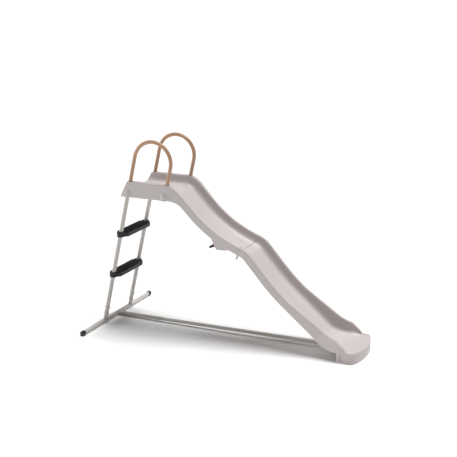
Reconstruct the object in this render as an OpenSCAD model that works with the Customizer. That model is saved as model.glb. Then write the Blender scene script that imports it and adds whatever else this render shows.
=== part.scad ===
// Toddler slide: two-piece moulded chute, steel ladder, hoop handles and a ground frame.
// Millimetres, +Z up. Built with X measured from the rear ground tube, then centred on its own length.

/* [Chute] */
// Height of the platform's rim above the ground
rim_height = 985; // [850:1:1200]
// Height of the channel's wall above its floor
wall_height = 58; // [45:1:75]
// Height of the wall where the chute starts to level out
exit_wall_height = 84; // [65:1:100]
// Height of the wall where the floor is level
end_wall_height = 74; // [60:1:90]
// Width over the chute's walls
chute_width = 331; // [280:1:420]
// Thickness of the platform's sides outside the legs
leg_cover = 4; // [3:0.5:10]
// Width over the foot
foot_width = 362; // [320:1:450]
// Depth of the platform's walls below its rim
platform_depth = 103; // [90:1:130]
// Width of the rim at the top of the chute's walls
rim_width = 17; // [14:1:22]
// Radius between the channel's floor and its walls
channel_fillet = 36; // [20:1:44]
// Thickness of the moulded skin
skin = 3.5; // [2.5:0.1:4.5]

/* [Chute line] */
// Platform's length from its ladder edge to the first bend
platform_length = 256; // [200:1:400]
// Radius of the rim's bend below the platform
crest_radius = 143; // [120:1:220]
// Slope below the platform, in degrees
first_slope = 46.7; // [40:0.1:50]
// Straight stretch on that slope
first_straight = 131; // [60:1:220]
// Radius of the rim through the dip
dip_radius = 796; // [500:1:1100]
// Slope at the joint, in degrees
joint_slope = 22.4; // [18:0.1:26]
// Straight stretch at the joint
joint_straight = 68; // [60:1:120]
// Radius of the rim's second bend
second_crest_radius = 154; // [120:1:220]
// Slope below the joint, in degrees
second_slope = 48.7; // [42:0.1:52]
// Straight stretch below the joint
second_straight = 152; // [60:1:260]
// Radius of the rim through the long curve
long_radius = 1315; // [900:1:1700]
// Slope of the last straight stretch, in degrees
last_slope = 39.5; // [34:0.1:40]
// Radius of the floor where it levels out
exit_radius = 210; // [150:1:300]
// Height of the level floor above the ground
exit_floor_height = 67; // [60:1:90]
// Length of the level floor
exit_length = 160; // [140:1:240]

/* [Joint between the halves] */
// Length of the overlap
lap_length = 94; // [80:1:120]
// Thickness of the upper half over the tongue
lap_skin = 4; // [3:0.1:5]
// Gap between the tongue and the skin over it
lap_gap = 0.6; // [0.4:0.1:1.2]
// Drop from the platform's rim to the inlet box's level underside
inlet_box_drop = 381; // [370:1:395]

/* [Ladder] */
// Distance between the legs' axes
leg_spacing = 326; // [300:1:340]
// Lean of the legs from upright, in degrees
leg_lean = 13; // [8:0.1:16]
// Outer diameter of the legs
leg_diameter = 28; // [25:0.5:32]
// Wall of every steel tube
tube_wall = 1.2; // [1:0.1:2]
// Height of the lower tread's top
lower_tread_height = 361; // [280:1:380]
// Distance from tread to tread
tread_spacing = 281; // [250:1:320]
// Depth of a tread from front to back
tread_depth = 86; // [70:1:100]
// Thickness of a tread
tread_thickness = 30; // [20:1:36]

/* [Handles] */
// Diameter of the hoops' tube
handle_diameter = 25; // [22:0.5:28]
// Distance between a hoop's two legs, along the platform
handle_spacing = 257; // [200:1:300]
// Height of a hoop's top above the platform's rim
handle_rise = 274; // [220:1:330]

/* [Ground frame] */
// Length of the cross tube with its caps
cross_length = 900; // [750:1:1100]
// Diameter of the cross tube
cross_diameter = 28; // [25:0.5:32]
// Wall of the cross tube's end caps
cap_wall = 2.2; // [1.2:0.1:4.5]
// Diameter of the rear half of the tie tube
tie_rear_diameter = 25; // [24:0.5:28]
// Diameter of the front half of the tie tube
tie_front_diameter = 22; // [19:0.5:22]
// Height of the tie tube's axis at the foot
tie_end_height = 37; // [30:1:40]

/* [Hidden] */
$fn = 48;

plastic = [0.72, 0.68, 0.66];
steel = [0.78, 0.76, 0.73];
copper = [0.78, 0.60, 0.47];
black = [0.13, 0.13, 0.14];
zinc = [0.62, 0.63, 0.64];
slip = 0.3;             // gap round a tube or bolt in its hole
small = 0.01;
cap_diameter = cross_diameter + 2 * slip + 2 * cap_wall;
leg_y = leg_spacing / 2;

// ---- line of the channel's floor: each point is [x, z, slope] ----
function bend(p, r, to) = let(s = to > p[2] ? 1 : -1)
    [p[0] + s * r * (sin(to) - sin(p[2])), p[1] + s * r * (cos(to) - cos(p[2])), to];
function run(p, l) = [p[0] + l * cos(p[2]), p[1] - l * sin(p[2]), p[2]];
function sweep(p, r, to, n) = [for (k = [1:n]) bend(p, r, p[2] + (to - p[2]) * k / n)];
function last(list) = list[len(list) - 1];

floor_z = rim_height - wall_height;
leg_foot_z = cap_diameter / 2;
leg_reach = (rim_height - leg_foot_z) * tan(leg_lean);
platform_edge_x = leg_reach - 16;
crest_start = [platform_edge_x + platform_length, floor_z, 0];
first_bend = sweep(crest_start, crest_radius - wall_height, first_slope, 6);
first_run = run(last(first_bend), first_straight);
box_slope = joint_slope + 8.4;
lap_slope = joint_slope + (lap_length - joint_straight) / dip_radius * 180 / PI;
dip_r = dip_radius + wall_height;
dip_one = sweep(first_run, dip_r, box_slope, 7);
dip_two = sweep(last(dip_one), dip_r, lap_slope, 2);
dip_three = bend(last(dip_two), dip_r, joint_slope);
seam = run(dip_three, joint_straight - 26);
seam_end = run(dip_three, joint_straight);
second_bend = sweep(seam_end, second_crest_radius - wall_height, second_slope, 5);
second_run = run(last(second_bend), second_straight);
long_bend = sweep(second_run, long_radius + wall_height, last_slope, 4);
last_drop = last(long_bend)[1] - exit_floor_height - exit_radius * (1 - cos(last_slope));
last_run = run(last(long_bend), last_drop / sin(last_slope));
exit_bend = sweep(last_run, exit_radius, 0, 6);
exit_x = last(exit_bend)[0];
foot_x = exit_x + 18;
rim_end_x = exit_x + 4;
wall_end_x = exit_x + 88;
lip_x = exit_x + exit_length;
mid_x = (lip_x - cap_diameter / 2) / 2;

chute_half = chute_width / 2;
platform_half = leg_y + leg_diameter / 2 + leg_cover;
chute_inner = chute_half - rim_width;
platform_inner = min(chute_inner, leg_y - handle_diameter / 2 - 2);
foot_half = foot_width / 2;
edge_rise = 6;          // the wall's lower edge stands this far above the floor
belly = 12;             // the underside hangs this far below the floor
edge_tilt = 27;         // slant of the platform's ladder edge
seam_tilt = 22;         // slant of the seam against the chute

// A station is [x, z, slope, tilt, wall, edge, belly, half width, rim's inner edge].
function station(p, wall, edge, low, half, tilt = 0) =
    [p[0], p[1], p[2], tilt, wall, edge, low, half, half - rim_width];
function level_edge(p, z, tilt) = (p[1] - z) * cos(tilt) / cos(p[2] + tilt);
// The larger of two, with a soft corner where they meet.
function soft_max(a, b, r) = max(a, b) + pow(max(0, 1 - abs(a - b) / r), 2) * r / 4;
// The rim is wide enough on the platform for the hoops, and narrows to the chute's own rim.
function inner_edge(half) = mix(chute_inner, platform_inner,
    (half - chute_half) / (platform_half - chute_half));
function deep(p, z, half, tilt = 0, corner = 1) =
    let(e = soft_max(-edge_rise, level_edge(p, z, tilt), corner))
    [p[0], p[1], p[2], tilt, wall_height, e, max(belly, e), half, inner_edge(half)];
function plain(p, half, tilt = 0) = station(p, wall_height, -edge_rise, belly, half, tilt);
function mix(a, b, t) = a + (b - a) * min(1, max(0, t));
function width_at(x) = mix(platform_half, chute_half, (x - crest_start[0] - 20) / 130);
platform_z = rim_height - platform_depth;
inlet_box_height = rim_height - inlet_box_drop;

platform_stations = [
    deep([platform_edge_x - 30, floor_z, 0], platform_z, platform_half, edge_tilt),
    deep([platform_edge_x + 12, floor_z, 0], platform_z, platform_half, edge_tilt / 2),
    deep([platform_edge_x + 70, floor_z, 0], platform_z, platform_half),
    deep(crest_start, platform_z, platform_half)];
crest_corner = 50;      // size of the soft corner under the crest
crest_stations = [for (p = first_bend) deep(p, platform_z, width_at(p[0]), 0, crest_corner)];
slope_stations = [for (l = [0.1, 0.2, 0.3, 0.45, 0.62, 1])
    let(p = run(last(first_bend), first_straight * l)) deep(p, platform_z, width_at(p[0]), 0, crest_corner)];
box_start = last(dip_one);
box_face = run(box_start, 2);
dip_stations = [for (i = [0:len(dip_one) - 1])
    plain(dip_one[i], chute_half, i == len(dip_one) - 1 ? -box_slope : 0)];
box_stations = [deep(box_face, inlet_box_height, chute_half, -box_slope),
    deep(dip_two[0], inlet_box_height, chute_half, -box_slope / 3),
    deep(dip_two[1], inlet_box_height, chute_half)];
upper_stations = concat(platform_stations, crest_stations, slope_stations, dip_stations, box_stations,
    [plain(dip_three, chute_half, seam_tilt / 3), plain(seam, chute_half, seam_tilt)]);

// The overlap runs from lap_start to the seam; the tongue stops short of its end wall by lap_gap.
function lap_stations(from, to) = [plain(run(last(dip_two), from), chute_half),
    plain(dip_three, chute_half, seam_tilt / 3), plain(run(seam, to), chute_half, seam_tilt)];

wall_growth = exit_wall_height - wall_height;
last_length = last_drop / sin(last_slope);
function exit_wall(x) = mix(end_wall_height, 2.4, (x - rim_end_x) / (wall_end_x - rim_end_x));
function bend_wall(slope) = mix(end_wall_height, exit_wall_height, slope / 20);
function exit_width(x) = mix(chute_half, foot_half, (x - last_run[0]) / (foot_x + 20 - last_run[0]));
last_stations = [for (t = [0.33, 0.66, 1]) let(p = run(last(long_bend), last_length * t))
    station(p, wall_height + wall_growth * t, -edge_rise, belly, chute_half)];
exit_stations = [for (p = exit_bend) station(p, bend_wall(p[2]), mix(-edge_rise, 10,
    (last_slope - p[2]) / last_slope), 15, exit_width(p[0]))];
foot_points = [foot_x, foot_x + 14, foot_x + 30, foot_x + 48, wall_end_x, wall_end_x + 20, lip_x + 4];
foot_stations = [for (x = foot_points) station([x, exit_floor_height, 0], exit_wall(x),
    exit_floor_height, exit_floor_height, exit_width(x))];
lower_stations = concat([plain(run(seam, 1), chute_half, seam_tilt), plain(seam_end, chute_half, 8)],
    [for (p = second_bend) plain(p, chute_half)],
    [for (t = [0.5, 1]) plain(run(last(second_bend), second_straight * t), chute_half)],
    [for (p = long_bend) plain(p, chute_half)], last_stations, exit_stations,
    [station([foot_x - 1, exit_floor_height, 0], exit_wall(foot_x - 1), 14, 15, exit_width(foot_x - 1))],
    foot_stations);

// Half of a section, from the middle of the underside round to the middle of the floor: [across, up].
// inset moves the sides, the top and the channel inwards; lift moves the underside up.
fillet_steps = 5;
function half_section(s, inset, lift) =
    let(h = s[4], e = s[5], b = s[6], w = s[7], in = s[8], wall = in - min(8, h / 6),
        r = min(channel_fillet, 0.62 * h), lip = min(8, 0.4 * h))
    concat(
        [[0, lift - b], [w - 46, lift - b], [w - 15, lift - (e + b) / 2], [w - 3 - inset, lift - e],
         [w - inset, lift - e + 3], [w - inset, h - lip - 0.4 * inset],
         [w - 0.4 * lip - 0.8 * inset, h - 0.25 * lip - inset], [w - lip - 0.3 * inset, h - inset],
         [in + 0.3 * inset, h - inset],
         [in - 0.5 * lip + inset, h - 0.5 * lip - inset]],
        [for (k = [0:fillet_steps]) let(t = 90 * k / fillet_steps)
            [wall - r + (r + inset) * cos(t), r - (r + inset) * sin(t)]],
        [[0, -inset]]);
function section(s, inset, lift) =
    let(half = half_section(s, inset, lift), n = len(half), k = 1 / cos(s[3]),
        dx = sin(s[2] + s[3]) * k, dz = cos(s[2] + s[3]) * k)
    [for (q = concat(half, [for (i = [n - 2:-1:1]) [-half[i][0], half[i][1]]]))
        [s[0] + q[1] * dx, q[0], s[1] + q[1] * dz]];

// Triangles that close half of a section, from the outer corners to the channel's own line.
floor_i = 10 + fillet_steps + 1;
half_cap = concat(
    [for (k = [0:4], t = [0, 1]) t == 0 ? [k, k + 1, floor_i - 1 - k] : [k, floor_i - 1 - k, floor_i - k]],
    [[5, 10, 11], [5, 9, 10], [5, 6, 9], [6, 8, 9], [6, 7, 8]]);
function across(i) = i == 0 || i == floor_i ? i : 2 * floor_i - i;

// One closed skin through every station.
module loft(stations, inset = 0, lift = 0) {
    rings = [for (s = stations) section(s, inset, lift)];
    n = len(rings[0]);
    m = len(rings);
    sides = [for (i = [0:m - 2], j = [0:n - 1], t = [0, 1]) let(a = i * n + j, b = i * n + (j + 1) % n)
        t == 0 ? [a, a + n, b] : [b, a + n, b + n]];
    cap = concat(half_cap, [for (f = half_cap) [across(f[2]), across(f[1]), across(f[0])]]);
    end_cap = [for (f = cap) [for (k = [2, 1, 0]) (m - 1) * n + f[k]]];
    polyhedron(points = [for (r = rings, p = r) p], faces = concat(sides, cap, end_cap), convexity = 6);
}

module centred() translate([-mid_x, 0, 0]) children();

// ---- places ----
bolt = 6;               // every bolt's shank
bolt_hole = bolt + 2 * slip;
head_d = 11;
head_h = 4;
nut_h = 5;
leg_bore = leg_diameter - 2 * tube_wall;
stub_diameter = leg_bore - 2 * slip;
stub_top = 150;
leg_bottom = cross_diameter / 2 + 14;   // along the leg from the cross tube's axis
base_bolt_heights = [66, 111];
leg_top = platform_z + 50;
post_radius = leg_diameter / 2 + 5;
boss_proud = 6;         // the bosses stand this far out of the platform's sides
boss_half = 20;
boss_radius = (pow(boss_half, 2) + pow(boss_proud, 2)) / (2 * boss_proud);

function along_leg(z, x = 0) = (z - leg_foot_z + x * sin(leg_lean)) / cos(leg_lean);
module on_leg(side) translate([0, side * leg_y, leg_foot_z]) rotate([0, leg_lean, 0]) children();
module both() for (side = [-1, 1]) on_leg(side) children();

module tube(d, bore, from, to) translate([0, 0, from]) difference() {
    cylinder(d = d, h = to - from);
    translate([0, 0, -1]) cylinder(d = bore, h = to - from + 2);
}

// The inside or outside of a tube that steps from d1 to d2. The smaller one runs past the step by lap.
module stepped(d1, d2, from, step, to, lap = 0) union() {
    translate([0, 0, from]) cylinder(d = d1, h = step - from - lap);
    translate([0, 0, step + lap]) cylinder(d = d2, h = to - step - lap);
    translate([0, 0, step - lap - small]) cylinder(d = min(d1, d2), h = 2 * (lap + small));
}

// A bolt lying along +Z from its head's seat at the origin, and the nut that closes it.
module bolt_piece(length) union() {
    translate([0, 0, -head_h]) cylinder(d = head_d, h = head_h);
    translate([0, 0, -small]) cylinder(d = bolt, h = length + small);
}
module nut_piece(seat) translate([0, 0, seat]) difference() {
    cylinder(d = 11.5, h = nut_h, $fn = 6);
    translate([0, 0, -1]) cylinder(d = bolt + 0.1, h = nut_h + 2);
}

// ---- ground frame ----
bracket_x = foot_x + 46;
tie_length = sqrt(pow(bracket_x, 2) + pow(tie_end_height - leg_foot_z, 2));
tie_tilt = atan((tie_end_height - leg_foot_z) / bracket_x);
module on_tie() translate([0, 0, leg_foot_z]) rotate([0, 90 - tie_tilt, 0]) children();
tie_stub_length = 52;
tie_stub_diameter = tie_rear_diameter + 2 * slip + 2 * tube_wall;
tie_start = cross_diameter / 2 + 5;
tie_joint = 345;
tie_plug = 60;
tie_end = tie_length - 4;
tie_bolt_places = [36, tie_joint - tie_plug / 2, tie_length - 24];
tie_bolt_outer = [tie_stub_diameter, tie_rear_diameter, tie_front_diameter + 2 * slip + 2 * tube_wall];
cap_length = 30;
cap_floor = 3;

module across_tie(i) on_tie() translate([0, -tie_bolt_outer[i] / 2, tie_bolt_places[i]])
    rotate([-90, 0, 0]) children();
module across_leg(height) translate([-leg_diameter / 2, 0, along_leg(height)]) rotate([0, 90, 0]) children();

module base_frame() color(steel) centred() difference() {
    union() {
        translate([0, 0, leg_foot_z]) rotate([90, 0, 0])
            cylinder(d = cross_diameter, h = cross_length - 2 * cap_floor, center = true);
        both() cylinder(d = stub_diameter, h = along_leg(stub_top));
        on_tie() cylinder(d = tie_stub_diameter, h = tie_stub_length);
    }
    translate([0, 0, leg_foot_z]) rotate([90, 0, 0])
        cylinder(d = cross_diameter - 2 * tube_wall, h = cross_length, center = true);
    both() translate([0, 0, cross_diameter / 2 + 2])
        cylinder(d = stub_diameter - 2 * tube_wall, h = along_leg(stub_top));
    on_tie() translate([0, 0, cross_diameter / 2 + 2])
        cylinder(d = tie_rear_diameter + 2 * slip, h = tie_stub_length);
    both() for (height = base_bolt_heights) across_leg(height)
        translate([0, 0, -1]) cylinder(d = bolt_hole, h = leg_diameter + 2);
    across_tie(0) translate([0, 0, -1]) cylinder(d = bolt_hole, h = tie_stub_diameter + 2);
}

module end_cap(side) color(black) centred() translate([0, side * cross_length / 2, leg_foot_z])
    rotate([side * 90, 0, 0]) difference() {
        union() {
            translate([0, 0, 4]) cylinder(d = cap_diameter, h = cap_length - 4);
            cylinder(d1 = cap_diameter - 8, d2 = cap_diameter, h = 4);
        }
        translate([0, 0, cap_floor]) cylinder(d = cross_diameter + 2 * slip, h = cap_length);
    }
module cross_tube_cap_near() end_cap(-1);
module cross_tube_cap_far() end_cap(1);

module tie_tube_rear() color(steel) centred() difference() {
    on_tie() tube(tie_rear_diameter, tie_rear_diameter - 2 * tube_wall, tie_start, tie_joint);
    for (i = [0, 1]) across_tie(i) translate([0, 0, -1]) cylinder(d = bolt_hole, h = tie_stub_diameter + 2);
}
// Its plug end fits inside the rear half, whatever its own diameter is.
tie_plug_diameter = tie_rear_diameter - 2 * tube_wall - 2 * slip;
module tie_tube_front() color(steel) centred() difference() {
    on_tie() stepped(tie_plug_diameter, tie_front_diameter, tie_joint - tie_plug, tie_joint + 1, tie_end);
    on_tie() stepped(tie_plug_diameter - 2 * tube_wall, tie_front_diameter - 2 * tube_wall,
        tie_joint - tie_plug - 1, tie_joint + 1, tie_end + 1, tube_wall);
    for (i = [1, 2]) across_tie(i) translate([0, 0, -1]) cylinder(d = bolt_hole, h = tie_stub_diameter + 2);
}
module tie_bolts() color(zinc) centred()
    for (i = [0:2]) across_tie(i) bolt_piece(tie_bolt_outer[i] + nut_h + 2);
module tie_nuts() color(zinc) centred() for (i = [0:2]) across_tie(i) nut_piece(tie_bolt_outer[i]);

// ---- ladder ----
module leg(side) color(steel) centred() difference() {
    on_leg(side) tube(leg_diameter, leg_bore, leg_bottom, along_leg(leg_top));
    on_leg(side) for (height = base_bolt_heights) across_leg(height)
        translate([0, 0, -1]) cylinder(d = bolt_hole, h = leg_diameter + 2);
    leg_screw_place(side) translate([0, 0, -10]) cylinder(d = screw_hole, h = 40);
    for (top = tread_heights) tread_screw_place(side, top)
        translate([0, 0, -2]) cylinder(d = screw_hole, h = 20);
}
module ladder_leg_near() leg(-1);
module ladder_leg_far() leg(1);
module leg_base_bolts() color(zinc) centred() both() for (height = base_bolt_heights)
    across_leg(height) bolt_piece(leg_diameter + nut_h + 3);
module leg_base_nuts() color(zinc) centred() both() for (height = base_bolt_heights)
    across_leg(height) nut_piece(leg_diameter);

tread_heights = [lower_tread_height, lower_tread_height + tread_spacing];
screw = 4;
screw_hole = screw + 2 * slip;
screw_head = 8;
tread_sleeve = leg_diameter + 2 * slip + 22;
tread_forward = 5;      // the tread stands this far forward of the legs
tread_body_width = leg_spacing + 6;
function leg_x(z) = (z - leg_foot_z) * tan(leg_lean);

// The sleeve's screw goes in from behind, square to the leg.
module tread_screw_place(side, top) on_leg(side)
    translate([-tread_sleeve / 2, 0, along_leg(top - tread_thickness / 2)]) rotate([0, 90, 0]) children();

module tread(top) color(black) centred() difference() {
    translate([leg_x(top - tread_thickness / 2), 0, top - tread_thickness]) union() {
        difference() {
            translate([tread_forward - tread_depth / 2, -tread_body_width / 2, 0])
                cube([tread_depth, tread_body_width, tread_thickness]);
            for (end = [-1, 1], edge = [-1, 1])
                translate([tread_forward + edge * tread_depth / 2, end * tread_body_width / 2, -1])
                rotate([0, 0, 45]) cube([30, 30, 2 * tread_thickness + 4], center = true);
            translate([tread_forward - tread_depth / 2 + 4, -tread_body_width / 2 + 26, -1])
                cube([tread_depth - 8, tread_body_width - 52, tread_thickness - 4]);
        }
        for (side = [-1, 1]) translate([0, side * leg_y, -2])
            cylinder(d = tread_sleeve, h = tread_thickness + 4);
        for (row = [-3:3])
            translate([tread_forward + row * 11 - 1.5, -tread_body_width / 2 + 30, tread_thickness - small])
            cube([3, tread_body_width - 60, 1.5 + small]);
    }
    both() cylinder(d = leg_diameter + 2 * slip, h = along_leg(rim_height));
    for (side = [-1, 1]) tread_screw_place(side, top) translate([0, 0, -6]) {
        cylinder(d = screw_hole, h = 20);
        cylinder(d = screw_head + 1, h = 8);
    }
}
module lower_tread() tread(tread_heights[0]);
module upper_tread() tread(tread_heights[1]);
module tread_screws() color(zinc) centred() for (side = [-1, 1], top = tread_heights)
    tread_screw_place(side, top) translate([0, 0, 2]) {
        translate([0, 0, -2.5]) cylinder(d = screw_head, h = 2.5);
        translate([0, 0, -small]) cylinder(d = screw, h = 12);
    }

// ---- handles ----
hoop_radius = handle_spacing / 2;
hoop_centre = along_leg(rim_height + handle_rise - handle_diameter / 2 - hoop_radius, hoop_radius);
handle_rear_end = along_leg(leg_top) - 80;
handle_front_end = along_leg(platform_z + 12, handle_spacing);
handle_neck = leg_bore - 2 * slip;      // the rear end fits inside the leg
handle_step = along_leg(leg_top) + 1;
module hoop(d, neck, lap = 0, over = 0) {
    stepped(neck, d, handle_rear_end - over, handle_step, hoop_centre, lap);
    translate([handle_spacing, 0, handle_front_end - over])
        cylinder(d = d, h = hoop_centre - handle_front_end + over);
    translate([hoop_radius, 0, hoop_centre]) rotate([90, 0, 0]) rotate_extrude(angle = 180)
        translate([hoop_radius, 0]) circle(d = d);
}
module handle(side) color(copper) centred() difference() {
    on_leg(side) hoop(handle_diameter, handle_neck);
    on_leg(side) hoop(handle_diameter - 2 * tube_wall, handle_neck - 2 * tube_wall, tube_wall, 1);
    leg_screw_place(side) translate([0, 0, -10]) cylinder(d = screw_hole, h = 40);
    handle_screw_place(side) translate([0, 0, -10]) cylinder(d = screw_hole, h = 40);
}
module handle_near() handle(-1);
module handle_far() handle(1);

// Screws through the bosses, from the outside in.
boss_screw_height = platform_z + 28;
boss_screw_length = leg_diameter / 2 + leg_cover + boss_proud + 3;
module boss_screw_place(side, x)
    translate([leg_x(boss_screw_height) + x, side * (platform_half + boss_proud), boss_screw_height])
    rotate([side * 90, 0, 0]) children();
module leg_screw_place(side) boss_screw_place(side, 0) children();
module handle_screw_place(side) boss_screw_place(side, handle_spacing / cos(leg_lean)) children();
module boss_screw() {
    translate([0, 0, -1.5]) cylinder(d = screw_head, h = 2.5);
    cylinder(d = screw, h = boss_screw_length);
}
module leg_top_screws() color(zinc) centred() for (side = [-1, 1]) leg_screw_place(side) boss_screw();
module handle_screws() color(zinc) centred() for (side = [-1, 1]) handle_screw_place(side) boss_screw();

// ---- joint fasteners ----
// Two bolts go right through by the seam; short screws hold the rim and the floor further up.
rim_bolt_y = chute_half - 16;
floor_screw_y = 62;
bolt_run = lap_length - 11;
screw_run = 10;
button_d = 13;
button_h = 2.6;
washer_d = 16;
washer_h = 1.5;
thumb_nut_d = 16;
thumb_nut_h = 26;
rim_grip = wall_height;
joint_screw_length = 11;
lap_arc = (lap_length - joint_straight) * dip_r / dip_radius;
function lap_point(along) = along > lap_arc ? run(dip_three, along - lap_arc)
    : bend(last(dip_two), dip_r, lap_slope - (lap_slope - joint_slope) * along / lap_arc);
module joint_place(along, y, up) let(p = lap_point(along))
    translate([p[0] + up * sin(p[2]), y, p[1] + up * cos(p[2])]) rotate([0, 180 + p[2], 0]) children();
module bolt_places() for (side = [-1, 1])
    joint_place(bolt_run, side * rim_bolt_y, wall_height + slip) children();
module joint_screw_places() for (side = [-1, 1]) {
    joint_place(screw_run, side * rim_bolt_y, wall_height + slip) children();
    joint_place(screw_run, side * floor_screw_y, slip) children();
}
module button_head() translate([0, 0, -button_h]) cylinder(d1 = button_d - 5, d2 = button_d, h = button_h);
module joint_bolts() color(zinc) centred() bolt_places() union() {
    button_head();
    translate([0, 0, -small]) cylinder(d = bolt, h = rim_grip + washer_h + 20);
}
module joint_screws() color(zinc) centred() joint_screw_places() union() {
    button_head();
    translate([0, 0, -small]) cylinder(d = screw, h = joint_screw_length);
}
module joint_washers() color(zinc) centred() bolt_places() translate([0, 0, rim_grip]) difference() {
    cylinder(d = washer_d, h = washer_h);
    translate([0, 0, -1]) cylinder(d = bolt_hole, h = washer_h + 2);
}
module joint_nuts() color(zinc) centred() bolt_places() translate([0, 0, rim_grip + washer_h]) difference() {
    cylinder(d = thumb_nut_d, h = thumb_nut_h);
    translate([0, 0, -1]) cylinder(d = bolt + 0.1, h = 22.5);
    for (k = [0:7]) rotate([0, 0, 45 * k]) translate([thumb_nut_d / 2 + 1, 0, 5])
        cylinder(d = 4, h = thumb_nut_h);
}
module joint_holes() {
    bolt_places() translate([0, 0, -1]) cylinder(d = bolt_hole, h = 120);
    joint_screw_places() translate([0, 0, -1]) cylinder(d = screw_hole, h = joint_screw_length + 2);
}
module joint_seats() bolt_places() translate([0, 0, rim_grip]) cylinder(d = washer_d + 2, h = 60);

// ---- water inlet ----
// The box's rear face leans, so that the fitting points down and back towards the ladder.
box_lean = 27;
box_corner = [box_face[0], 0, box_start[1] - belly];
inlet_y = -(chute_half - 33);
inlet_down = 18;        // from the corner down the face to the fitting's axis
inlet_point = [box_corner[0] + inlet_down * sin(box_lean), inlet_y,
    box_corner[2] - inlet_down * cos(box_lean)];
inlet_bore = 14;
inlet_body = inlet_bore - 2 * slip;
inlet_tail = 12.5;
seal = 2;
flange_d = 26;
flange_h = 4;
collar_d = 22;
collar_end = 28;
spigot_d = 15.8;
spigot_start = 34;
spigot_length = 12;
back_nut_h = 6;
water_od = 7;
water_id = 4.6;
module inlet_place() translate(inlet_point) rotate([0, -90 - box_lean, 0]) children();
module box_wedge(shift) translate(box_corner) rotate([0, -box_lean, 0])
    translate([shift - 60, -chute_width, -60]) cube([60, 2 * chute_width, 60]);
module hose_inlet() color(black) centred() inlet_place() difference() {
    union() {
        translate([0, 0, seal]) cylinder(d = flange_d, h = flange_h);
        translate([0, 0, seal + flange_h - small]) cylinder(d = collar_d, h = collar_end - seal - flange_h);
        translate([0, 0, collar_end - 2 * small])
            cylinder(d = spigot_d - 3.2, h = spigot_start - collar_end + 3 * small);
        translate([0, 0, spigot_start]) cylinder(d = spigot_d, h = spigot_length);
        translate([0, 0, spigot_start + spigot_length - small]) cylinder(d1 = spigot_d, d2 = 11, h = 8);
        translate([0, 0, -skin - back_nut_h - 0.5])
            cylinder(d = inlet_body, h = skin + back_nut_h + seal + 1);
        translate([0, 0, -inlet_tail]) cylinder(d = water_od, h = 4);
    }
    translate([0, 0, -40]) cylinder(d = water_id, h = 120);
}
module hose_inlet_washer() color(black) centred() inlet_place() difference() {
    cylinder(d = 23, h = seal);
    translate([0, 0, -1]) cylinder(d = inlet_bore, h = seal + 2);
}
module hose_inlet_nut() color(black) centred() inlet_place() translate([0, 0, -skin - back_nut_h - 0.1])
    difference() {
        cylinder(d = 19, h = back_nut_h, $fn = 6);
        translate([0, 0, -1]) cylinder(d = inlet_body + 0.1, h = back_nut_h + 2);
    }
spray_point = bend(box_start, dip_r, box_slope - 4.6);
spray_y = inlet_y + 34;
spray_low = inlet_box_height + 9;
spray_stub = 8;
spray_flange_d = 18;
module spray_place() translate([spray_point[0], spray_y, spray_point[1] + slip])
    rotate([0, spray_point[2], 0]) children();
module spray_nozzle() color(black) centred() difference() {
    union() {
        spray_place() cylinder(d1 = spray_flange_d, d2 = spray_flange_d - 6, h = 2.5);
        translate([spray_point[0], spray_y, spray_low - 4.5]) cylinder(d = spray_stub, h = 15);
    }
    spray_place() translate([0, 0, -2]) cylinder(d = 3, h = 10);
}

// The tube runs on from the fitting, turns once and stops at the nozzle.
water_gap = 0.4;
water_start = [inlet_point[0] + (inlet_tail + water_gap) * cos(box_lean), inlet_y,
    inlet_point[2] + (inlet_tail + water_gap) * sin(box_lean)];
water_drop = atan((water_start[2] - spray_low) / (spray_point[0] - water_start[0]));
water_run = (spray_point[0] - water_start[0]) / cos(water_drop);
water_bend = 7;
module water_path(d, over) translate(water_start) rotate([0, water_drop, 0]) {
    translate([-over, 0, 0]) rotate([0, 90, 0]) cylinder(d = d, h = water_run - water_bend + over);
    translate([water_run - water_bend, water_bend, 0]) rotate([0, 0, -90]) rotate_extrude(angle = 90)
        translate([water_bend, 0]) circle(d = d);
    translate([water_run, water_bend, 0]) rotate([-90, 0, 0])
        cylinder(d = d, h = spray_y - inlet_y - spray_stub / 2 - water_gap - water_bend + over);
}
module water_tube() color(black) centred() difference() {
    water_path(water_od, 0);
    water_path(water_id, 1);
}

// ---- foot ----
pocket_half = foot_half - 12;
pocket_low = 50;
pocket_high = exit_floor_height - 7;
lip_bow = 36;
foot_wall = 10;
bracket_plate = 3;
bracket_low = 5;
bracket_height = pocket_low - bracket_low;
tab_length = 38;
foot_screw_heights = [20, 44];
foot_screw_x = bracket_x - 22;
lip_steps = 16;
function lip_front(t) = lip_x - lip_bow * pow(t, 2) - 14 * pow(abs(t), 16);
module lip_trim() translate([0, 0, -1]) linear_extrude(height = rim_height) polygon(concat(
    [for (k = [-lip_steps:lip_steps]) let(t = k / lip_steps) [lip_front(t), t * (foot_half + small)]],
    [[lip_front(1), foot_half + 5], [lip_x + 30, foot_half + 5], [lip_x + 30, -foot_half - 5],
     [lip_front(-1), -foot_half - 5]]));
module foot_pocket() {
    front = [for (k = [-lip_steps:lip_steps]) let(t = k / lip_steps)
        [lip_front(t) - foot_wall, t * pocket_half]];
    translate([0, 0, -1]) linear_extrude(height = pocket_low + 1)
        polygon(concat([[foot_x - 4, -pocket_half]], front, [[foot_x - 4, pocket_half]]));
    translate([0, 0, -1]) linear_extrude(height = pocket_high + 1)
        polygon(concat([[foot_x + 6, -pocket_half]], front, [[foot_x + 6, pocket_half]]));
}
module foot_screw_places() for (side = [-1, 1], height = foot_screw_heights)
    translate([foot_screw_x, side * foot_half, height]) rotate([side * 90, 0, 0]) children();
tab_face = pocket_half - 0.2;
foot_grip = foot_half - tab_face + bracket_plate;
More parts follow.
